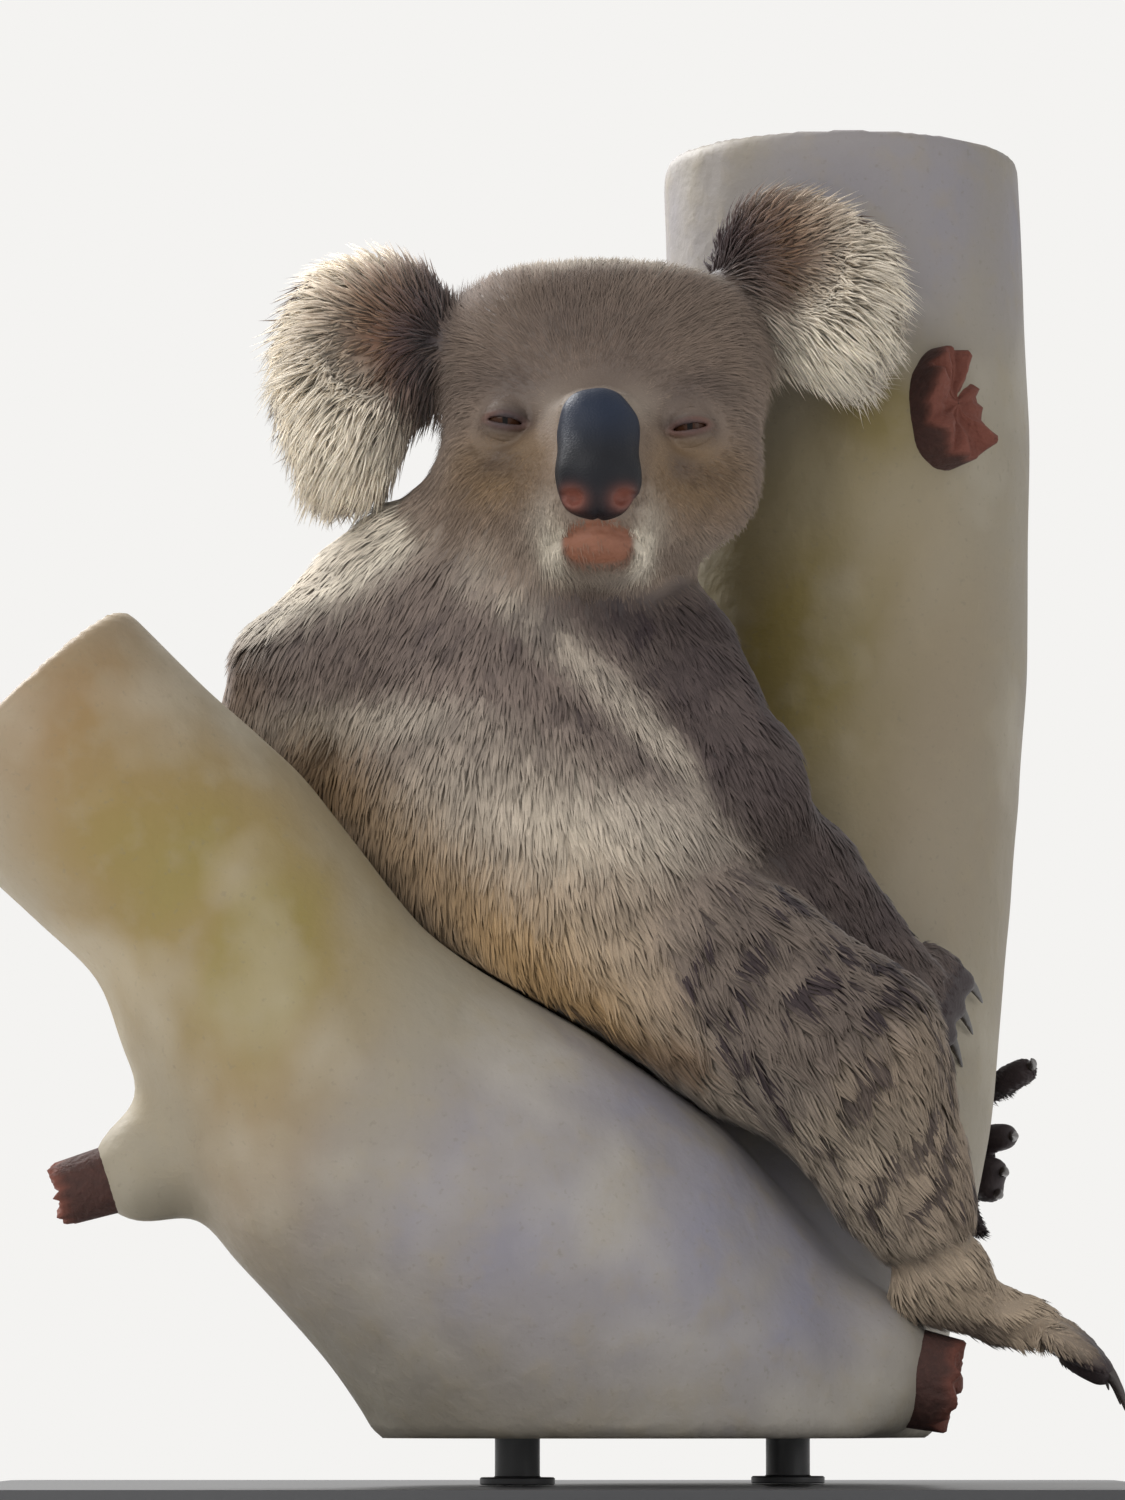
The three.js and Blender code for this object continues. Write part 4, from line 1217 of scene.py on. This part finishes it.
def sawn_material(settings):
    """Sawn end grain of gum: growth rings about 3 mm apart, with fine saw marks."""
    made, tree = new_material("sawn_end_grain")
    pith = add(tree, "ShaderNodeAttribute", attribute_name="pith")
    per_ring = 2 * math.pi / (3 * MM)
    turn = add(tree, "ShaderNodeMath", {0: pith.outputs["Fac"], 1: per_ring}, operation="MULTIPLY")
    ring = add(tree, "ShaderNodeMath", {"Value": turn}, operation="SINE")
    share = add(tree, "ShaderNodeMapRange", {"Value": ring, "From Min": -1.0, "To Max": 0.55})
    place = add(tree, "ShaderNodeTexCoord")
    # Brown heartwood reaches about 45 mm from the pith, with an uneven soft edge, and the sapwood is paler.
    wander = add(tree, "ShaderNodeTexNoise", sized(place, 40 * MM, Detail=3.0))
    reach = {0: wander, 1: 24 * MM, 2: pith.outputs["Fac"]}
    edge = add(tree, "ShaderNodeMath", reach, operation="MULTIPLY_ADD")
    sap = add(tree, "ShaderNodeMapRange", {"Value": edge, "From Min": 38 * MM, "From Max": 74 * MM})
    parts = {"Factor": sap, "A": paint("7a5a45"), "B": settings.sawn_wood}
    wood = add(tree, "ShaderNodeMix", parts, data_type="RGBA")
    dark = add(tree, "ShaderNodeVectorMath", {"Vector": wood, "Scale": 0.6}, operation="SCALE")
    colour = add(tree, "ShaderNodeMix", {"Factor": share, "A": wood, "B": dark}, data_type="RGBA")
    marks = add(tree, "ShaderNodeTexNoise", sized(place, 1.5 * MM, Detail=4.0))
    close_material(tree, colour, 0.8, marks, 0.5 * MM)
    return made


def dead_wood_material(settings):
    """Dead broken wood: red-brown, dry and fibrous, paler where the fibres have torn."""
    made, tree = new_material("dead_broken_wood")
    torn, _, _, _ = channels(tree, "tone")
    place = add(tree, "ShaderNodeTexCoord")
    # Fibres come away in strips about 3 mm wide.
    fibre = add(tree, "ShaderNodeTexNoise", sized(place, 3 * MM, Detail=6.0))
    colour = paint("2a1712")
    for share, layer in ((fibre, settings.dead_wood), (torn, paint("6b3b2e"))):
        colour = add(tree, "ShaderNodeMix", {"Factor": share, "A": colour, "B": layer}, data_type="RGBA")
    close_material(tree, colour, 0.85, fibre, 1.5 * MM)
    return made


SAW_CUTS = {"perch_trunk": (0, 0, 1), "perch_fork": (0, 0, -1), "perch_limb": (-1, 0, 1)}
# The broken stubs: the way each one faces, how tall it is against its width, and how ragged, in millimetres.
STUBS = {
    "perch_stub_low": dict(heading=(1, 0, 0), tall=1.0, ragged=1),
    "perch_stub_left": dict(heading=(-1, 0, 0), tall=1.0, ragged=1),
    "perch_stub_high": dict(heading=(1, -1, 0), tall=1.5, ragged=11),
}


# Patches of the bark seen from in front, as for the coat: how tan, olive and grey it is there.
BARK_PATCHES = {
    "side limb, under edge": ((-175, 262), (26, 60), (0.5, 0.45, 0)),
    "side limb, upper": ((-205, 330), (45, 40), (0.75, 0.1, 0)),
    "side limb, middle": ((-150, 275), (45, 45), (0.6, 0.55, 0)),
    "side limb, lower": ((-112, 228), (40, 46), (0.45, 0.9, 0)),
    "streak under the limb": ((-118, 180), (22, 60), (0.6, 0.35, 0)),
    "behind the shoulder": ((92, 365), (58, 95), (0.15, 0.85, 0)),
    "collar of the high stub": ((134, 470), (24, 24), (0.15, 0.9, 0)),
    "right of the stem": ((150, 330), (34, 90), (0.25, 0.2, 0.2)),
    "top of the stem": ((130, 560), (90, 60), (0, 0, 0.75)),
    "seat": ((10, 180), (60, 30), (0.1, 0.1, 0.4)),
    "fork, left": ((-40, 120), (70, 50), (0.05, 0.05, 0.55)),
    "fork, right": ((70, 110), (80, 70), (0, 0, 0.85)),
}


def bark_tones(points):
    """How tan, olive and grey the bark is at each point."""
    x, y, z = points.T / MM
    tones = np.zeros((len(points), 4))
    for (across, up), (half_across, half_up), change in BARK_PATCHES.values():
        away = ((x - across) / half_across) ** 2 + ((z - up) / half_up) ** 2
        tones[:, :3] += np.exp(-away)[:, None] * change
    tones[:, 2] += 0.35 * ramp(y, 40, 130)
    ragged = 0.55 + 0.9 * speckles(points, 16, 60, 8)[:, None]
    return np.clip(tones * ragged, 0, 1)


def build_bark(settings):
    """The perch as one smooth-barked fork, with flat saw cuts and a collar round each stub."""
    block = Block(*span(WOOD, 35 * MM), settings.bark_cell)
    wood = blurred(block.closed_up(WOOD, 30 * MM, SAW_CUTS.items()), 7 * MM / block.cell)
    _, axes = block.window(block.low, block.low + np.array(block.shape) * block.cell)
    for name, shape in STUBS.items():
        centre, out, radius = flat_end(name, shape["heading"])
        root = centre - 40 * MM * out
        wood = merged(wood, egg(axes, root, radius + 8 * MM), 24 * MM)
    wood += 1.1 * MM * block.cloud(46 * MM, 3) + 0.45 * MM * block.cloud(15 * MM, 4)
    cuts = {}
    for name, heading in SAW_CUTS.items():
        centre, out, _ = flat_end(name, heading)
        reach = 150 * MM * np.sqrt(1 - out**2) + 45 * MM * np.abs(out) + 2 * MM
        cut, near = block.window(centre - reach, centre + reach)
        wood[cut] = carved(wood[cut], -sum((near[i] - centre[i]) * out[i] for i in range(3)), 6 * MM)
        cuts[name] = (centre, out)
    points, quads = block.surface(wood)
    pith = np.zeros(len(points))
    sawn = np.zeros(len(points), bool)
    for centre, out in cuts.values():
        height = (points - centre) @ out
        flat = np.linalg.norm(points - centre - height[:, None] * out, axis=1)
        on_cut = (np.abs(height) < 0.7 * MM) & (flat < 130 * MM)
        points[on_cut] -= height[on_cut, None] * out
        pith[on_cut] = flat[on_cut]
        sawn |= on_cut
    attributes = {"tone": bark_tones(points), "pith": pith}
    piece = mesh_piece("perch_bark", points, quads, bark_material(settings), WOOD, attributes)
    piece.data.materials.append(sawn_material(settings))
    piece.data.polygons.foreach_set("material_index", sawn[quads].all(1).astype(np.int32))
    piece.data.update()


def tube_faces(rings, sides):
    """The quads of a tube whose corners go round ring after ring."""
    grid = np.arange(rings * sides).reshape(rings, sides)
    round_on = np.roll(grid, -1, 1)
    return np.stack([grid[:-1], round_on[:-1], round_on[1:], grid[1:]], -1).reshape(-1, 4)


def build_stub(name, material, seed, heading, tall, ragged):
    """A snapped branch: ridged along its length, torn and splintered at its end."""
    centre, out, radius = flat_end(name, heading)
    rng = np.random.default_rng(seed)
    sides, rings = 56, 22
    side = unit(np.cross(out, [0, 0, 1]))
    up = np.cross(side, out)
    angle = turns(sides)
    ridges = sum(rng.uniform(0.3, 1) / k * np.cos(k * angle + rng.uniform(0, 6.28)) for k in (2, 3, 5, 9, 14))
    tear = sum(rng.uniform(0.4, 1) * np.cos(k * angle + rng.uniform(0, 6.28)) for k in (1, 2, 4, 7, 11, 17))
    length = 34 * MM
    rows, torn = [], []
    for ring in range(rings):
        t = ring / (rings - 1)
        wall = min(t / 0.7, 1)
        inward = max((t - 0.7) / 0.3, 0)
        girth = radius * (1.12 - 0.1 * wall) * (1 + 0.05 * ridges) * (1 - inward) + 0.3 * MM * inward
        splinter = np.clip((tear * (1 + 0.1 * ragged) - 4 + 0.2 * ragged) * 1.3, -14, ragged) * MM
        hollow = (6 + 2 * math.cos(9 * inward)) * MM
        depth = -length * (1 - wall) + splinter * wall * (1 - inward) - hollow * inward
        ray = np.cos(angle)[:, None] * side + tall * np.sin(angle)[:, None] * up
        rows.append(centre + girth[:, None] * ray + depth[:, None] * out)
        torn.append(np.full(sides, ramp(t, 0.55, 0.75)))
    points, faces = np.concatenate(rows), tube_faces(rings, sides)
    outward = np.cross(points[faces[0, 1]] - points[faces[0, 0]], points[faces[0, 3]] - points[faces[0, 0]])
    if outward @ (points[faces[0, 0]] - centre) < 0:
        faces = faces[:, ::-1]
    tone = np.zeros((len(points), 4))
    tone[:, 0] = np.concatenate(torn)
    mesh_piece(name + "_wood", points, faces, material, [name], {"tone": tone})


# ---------------------------------------------------------------- stand and stage


def paint_material(settings):
    """Satin paint on board and steel: even colour, with the faint orange peel of a sprayed coat."""
    made, tree = new_material("satin_paint")
    place = add(tree, "ShaderNodeTexCoord")
    # Orange peel has humps about 2 mm across.
    peel = add(tree, "ShaderNodeTexNoise", sized(place, 2 * MM, Detail=2.0))
    worn = add(tree, "ShaderNodeMapRange", {"Value": peel, "To Min": 0.34, "To Max": 0.46})
    close_material(tree, settings.stand_paint, worn, peel, 0.05 * MM, IOR=1.5)
    return made


def build_rod(name, material):
    """A turned rod with a washer where it meets the base."""
    low, high = corners(name)
    centre, radius = (low + high) / 2, (high[0] - low[0]) / 2
    profile = [
        (0, low[2]), (radius + 5.5 * MM, low[2]), (radius + 6 * MM, low[2] + 0.5 * MM),
        (radius + 6 * MM, low[2] + 2.5 * MM), (radius + 5.4 * MM, low[2] + 3 * MM),
        (radius + 0.6 * MM, low[2] + 3 * MM), (radius, low[2] + 3.5 * MM), (radius, high[2]), (0, high[2]),
    ]
    sides = 48
    angle = turns(sides)
    ring = np.stack([np.cos(angle), np.sin(angle), 0 * angle], 1)
    foot = np.array([centre[0], centre[1], 0])
    points = np.concatenate([foot + r * ring + np.array([0, 0, z]) for r, z in profile])
    piece = mesh_piece(name + "_turned", points, tube_faces(len(profile), sides), material, [name])
    edges = piece.modifiers.new("crisp edges", "EDGE_SPLIT")
    edges.split_angle = math.radians(35)


# The skin's share of light, lock and hair shade, as for hair half way down.
SKIN_STRAND = (0.78, 0.5, 0.5, 1.0)


class KOALA_OT_skin(bpy.types.Operator):
    """Build the one skin that lies under the coat"""

    bl_idname = "koala.skin"
    bl_label = "Skin"

    def execute(self, context):
        material = skin_material(settings_of(context))
        rows = [("koala_skin", skin_surface(), FLESH)]
        rows += [(f"lids_{side}", anatomy().lids(side), ()) for side in SIDES]
        for name, (points, quads, normals), replaced in rows:
            strand = np.tile(SKIN_STRAND, (len(points), 1))
            attributes = {"tone": markings_and_painted_light(points, normals), "strand": strand}
            mesh_piece(name, points, quads, material, replaced, attributes)
        return {"FINISHED"}


class KOALA_OT_coat(bpy.types.Operator):
    """Grow the coat in tufts over the skin, in one piece for each part of the body"""

    bl_idname = "koala.coat"
    bl_label = "Coat"

    def execute(self, context):
        settings = settings_of(context)
        rng = np.random.default_rng(11)
        tufts = settings.tufts
        coat = Coat(tufts, settings.coat_length, rng)
        material = hair_material(settings)
        for name, nodes in COAT_PIECES.items():
            chosen = np.flatnonzero(np.isin(coat.part, [FLESH.index(node) for node in nodes]))
            bends = [0] if name == "coat_head" else [0, 0.5]
            # A tuft with one ring has 4 triangles, and each further ring adds 6.
            count = math.ceil(len(chosen) * (6 * len(bends) - 2) / PIECE_TRIANGLES)
            # A piece that would be too large is divided from front to back.
            order = np.argsort(coat.normals[chosen, 1], kind="stable")
            for i, part in enumerate(np.array_split(chosen[order], max(count, 1))):
                points, faces, normals, attributes, along = coat.tufts(part, bends)
                label = name if count <= 1 else f"{name}_{i + 1}"
                # The ears' hair is seen from all round, so it is lit by its own shape.
                shading = None if "ear" in name else normals
                piece = mesh_piece(label, points, faces, material, (), attributes, shading)
                unwrap_onto(piece, coat.roots[part], coat.normals[part], len(along), along)
        return {"FINISHED"}


class KOALA_OT_eyes(bpy.types.Operator):
    """Set both eyes behind their lids"""

    bl_idname = "koala.eyes"
    bl_label = "Eyes"

    def execute(self, context):
        material = eye_material(settings_of(context))
        for side in SIDES:
            ball, radius = eye_ball(side)
            bpy.ops.mesh.primitive_uv_sphere_add(segments=48, ring_count=32, radius=radius)
            piece = context.object
            piece.name = f"eyeball_{side}"
            # The cornea bulges in front.
            for corner in piece.data.vertices:
                corner.co *= 1 + 0.28 * max(0.0, -corner.co.y / radius - 0.75)
            piece.location = ball
            piece.data.materials.append(material)
            seated(piece, [f"eye_{side}"])
            smooth_all(piece)
        return {"FINISHED"}


class KOALA_OT_nose(bpy.types.Operator):
    """Shape the bare nose pad and its nostrils"""

    bl_idname = "koala.nose"
    bl_label = "Nose"

    def execute(self, context):
        settings = settings_of(context)
        low, high = corners("nose")
        centre = (low + high) / 2
        block = Block(low - 8 * MM, high + 8 * MM, 0.8 * MM)
        pad = blurred(block.closed_up(["nose"], 8 * MM), 2.2 * MM / block.cell)
        _, axes = block.window(block.low, high + 8 * MM + block.cell)
        x, y, z = axes
        tone_spots = []
        for turn in (-1, 1):
            nostril = np.array([centre[0] + turn * 10.5 * MM, low[1] + 3 * MM, low[2] + 9 * MM])
            hole = egg(axes, nostril, np.array([4.6, 7.5, 3.4]) * MM)
            pad = carved(pad, hole, 2 * MM)
            wing = nostril + np.array([turn * 6, 2, 1.5]) * MM
            notch = egg(axes, wing, np.array([5, 7, 1.6]) * MM)
            pad = carved(pad, notch, 1.6 * MM)
            tone_spots.append(nostril + np.array([0, 3 * MM, 0]))
        groove = 0.9 * MM * np.exp(-(((x - centre[0]) / (1.2 * MM)) ** 2))
        pad = pad + groove * (1 - ramp(z, low[2] + 5 * MM, low[2] + 15 * MM)) + 0 * y
        points, quads = block.surface(pad)
        pink = sum(soft_ball(points, spot, (5.4, 6, 4.2)) for spot in tone_spots)
        # Painted reflection: the top of the pad gets a blue sheen.
        painted_sheen = 0.8 * ramp(points[:, 2], centre[2] - 4 * MM, high[2] - 8 * MM)
        tone = np.clip(np.stack([pink, painted_sheen, 0 * pink, 0 * pink], 1), 0, 1)
        mesh_piece("nose_pad", points, quads, nose_material(settings), ["nose"], {"tone": tone})
        return {"FINISHED"}


class KOALA_OT_claws(bpy.types.Operator):
    """Smooth and finish the claws"""

    bl_idname = "koala.claws"
    bl_label = "Claws"

    def execute(self, context):
        material = horn_material(settings_of(context))
        for name in CLAWS:
            claw = kept_node(name, material)
            finer = claw.modifiers.new("smooth", "SUBSURF")
            finer.levels = finer.render_levels = 2
            smooth_all(claw)
        return {"FINISHED"}


class KOALA_OT_perch(bpy.types.Operator):
    """Build the bark of the perch and its broken stubs"""

    bl_idname = "koala.perch"
    bl_label = "Perch"

    def execute(self, context):
        settings = settings_of(context)
        build_bark(settings)
        material = dead_wood_material(settings)
        for seed, (name, shape) in enumerate(STUBS.items()):
            build_stub(name, material, seed, **shape)
        return {"FINISHED"}


class KOALA_OT_stand(bpy.types.Operator):
    """Finish the base and rods that hold the perch"""

    bl_idname = "koala.stand"
    bl_label = "Stand"

    def execute(self, context):
        material = paint_material(settings_of(context))
        base = kept_node("stand_base", material)
        edge = base.modifiers.new("eased edge", "BEVEL")
        edge.width = 1.5 * MM
        edge.segments = 3
        edge.limit_method = "ANGLE"
        edge.harden_normals = True
        for name in sorted(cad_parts):
            if name.startswith("stand_rod"):
                build_rod(name, material)
        return {"FINISHED"}


class KOALA_OT_stage(bpy.types.Operator):
    """Lay the floor and backdrop, and set the lamps and the camera"""

    bl_idname = "koala.stage"
    bl_label = "Stage"

    def execute(self, context):
        scene = context.scene
        settings = settings_of(context)
        self.floor(settings)
        self.lamps()
        self.surroundings(scene, settings)
        self.camera(scene)
        scene.view_settings.view_transform = "Standard"
        return {"FINISHED"}

    def camera(self, scene):
        """A long lens low in front, which looks up at the koala by six degrees."""
        half_view = math.radians(6.71)
        lens = bpy.data.cameras.new("camera")
        lens.sensor_width = 36
        lens.lens = lens.sensor_width / 2 / math.tan(half_view)
        camera = placed("camera", lens)
        camera.location = (0, -2.6, 0.05)
        camera.rotation_euler = (math.radians(90 + 6), 0, 0)
        scene.camera = camera

    def floor(self, settings):
        """A wide pale floor that keeps the object's soft shadow."""
        sides, reach = 96, 14.0
        points = [(0, 0, 0)] + [(reach * math.cos(a), reach * math.sin(a), 0) for a in turns(sides)]
        faces = [(0, i + 1, (i + 1) % sides + 1) for i in range(sides)]
        made, tree = new_material("matt_paper")
        # The camera sees the paper a little brighter near the stand, where it keeps the soft shadow,
        # and further off it runs into the plain studio.
        place = add(tree, "ShaderNodeTexCoord")
        away = add(tree, "ShaderNodeVectorMath", {0: place.outputs["Object"]}, operation="LENGTH")
        far = {"Value": away.outputs["Value"], "From Min": 0.6, "From Max": 1.6}
        fade = add(tree, "ShaderNodeMapRange", far)
        paper = add(tree, "ShaderNodeBsdfDiffuse", {"Color": settings.floor})
        glow = add(tree, "ShaderNodeEmission", {"Color": settings.floor, "Strength": 0.35})
        plain = add(tree, "ShaderNodeEmission", {"Color": settings.floor, "Strength": 1.0})
        bright = add(tree, "ShaderNodeAddShader", {0: paper, 1: glow})
        seen = add(tree, "ShaderNodeMixShader", {0: fade, 1: bright, 2: plain})
        mixed = add(tree, "ShaderNodeMixShader", {0: looked_at(tree), 1: paper, 2: seen})
        add(tree, "ShaderNodeOutputMaterial", {"Surface": mixed})
        mesh = bpy.data.meshes.new("floor")
        mesh.from_pydata(points, [], faces)
        mesh.materials.append(made)
        placed("floor", mesh)

    def surroundings(self, scene, settings):
        """A pale studio all round: plain to the camera and in gloss, and softer as light."""
        world = bpy.data.worlds.new("studio")
        scene.world = world
        world.use_nodes = True
        tree = world.node_tree
        tree.nodes.clear()
        light = add(tree, "ShaderNodeBackground", {"Color": paint("f4f6fa"), "Strength": 0.55})
        seen = add(tree, "ShaderNodeBackground", {"Color": settings.floor, "Strength": 1.0})
        mixed = add(tree, "ShaderNodeMixShader", {0: looked_at(tree), 1: light, 2: seen})
        add(tree, "ShaderNodeOutputWorld", {"Surface": mixed})

    def lamps(self):
        """A key from the upper left, a light behind to edge the fur, and a weak fill."""
        target = np.array([0, 0, 0.3])
        rows = {
            "key": ((-1.6, -2.0, 2.0), 1.4, 42),
            "edge": ((-1.3, 1.3, 1.9), 0.8, 85),
            "fill": ((2.2, -1.8, 1.0), 1.6, 12),
        }
        for name, (place, size, power) in rows.items():
            lamp = bpy.data.lights.new(name, "AREA")
            lamp.size = size
            lamp.energy = power
            holder = placed(name, lamp)
            holder.location = place
            holder.rotation_euler = aimed(place, target)


def looked_at(tree):
    """1 for what is seen, straight on, in gloss or through glass, and 0 for what only lights."""
    path = add(tree, "ShaderNodeLightPath")
    rays = [path.outputs[f"Is {kind} Ray"] for kind in ("Camera", "Glossy", "Transmission")]
    return functools.reduce(lambda a, b: add(tree, "ShaderNodeMath", {0: a, 1: b}, operation="MAXIMUM"), rays)


def aimed(place, target):
    """The rotation that points a lamp from its place at a target."""
    x, y, z = np.array(target) - np.array(place)
    return (math.atan2(math.hypot(x, y), -z), 0, math.atan2(x, -y) + math.pi)


OPERATORS = [
    KOALA_OT_skin,
    KOALA_OT_coat,
    KOALA_OT_eyes,
    KOALA_OT_nose,
    KOALA_OT_claws,
    KOALA_OT_perch,
    KOALA_OT_stand,
    KOALA_OT_stage,
]


class KOALA_PT_panel(bpy.types.Panel):
    """Lists the pieces of the koala in the order in which they are built"""

    bl_label = "Koala"
    bl_idname = "KOALA_PT_panel"
    bl_space_type = "VIEW_3D"
    bl_region_type = "UI"
    bl_category = "Koala"

    def draw(self, context):
        settings = settings_of(context)
        for name in KoalaSettings.__annotations__:
            self.layout.prop(settings, name)
        for operator in OPERATORS:
            self.layout.operator(operator.bl_idname)


CLASSES = [KoalaSettings, *OPERATORS, KOALA_PT_panel]


def register():
    """Makes the settings, the operators and the panel known."""
    for made in CLASSES:
        bpy.utils.register_class(made)
    bpy.types.Scene.koala_settings = bpy.props.PointerProperty(type=KoalaSettings)


def unregister():
    """Takes them away again."""
    del bpy.types.Scene.koala_settings
    for made in reversed(CLASSES):
        bpy.utils.unregister_class(made)


def main():
    """Builds every piece in order."""
    register()
    for operator in OPERATORS:
        family, name = operator.bl_idname.split(".")
        getattr(getattr(bpy.ops, family), name)()


if __name__ == "__main__":
    main()
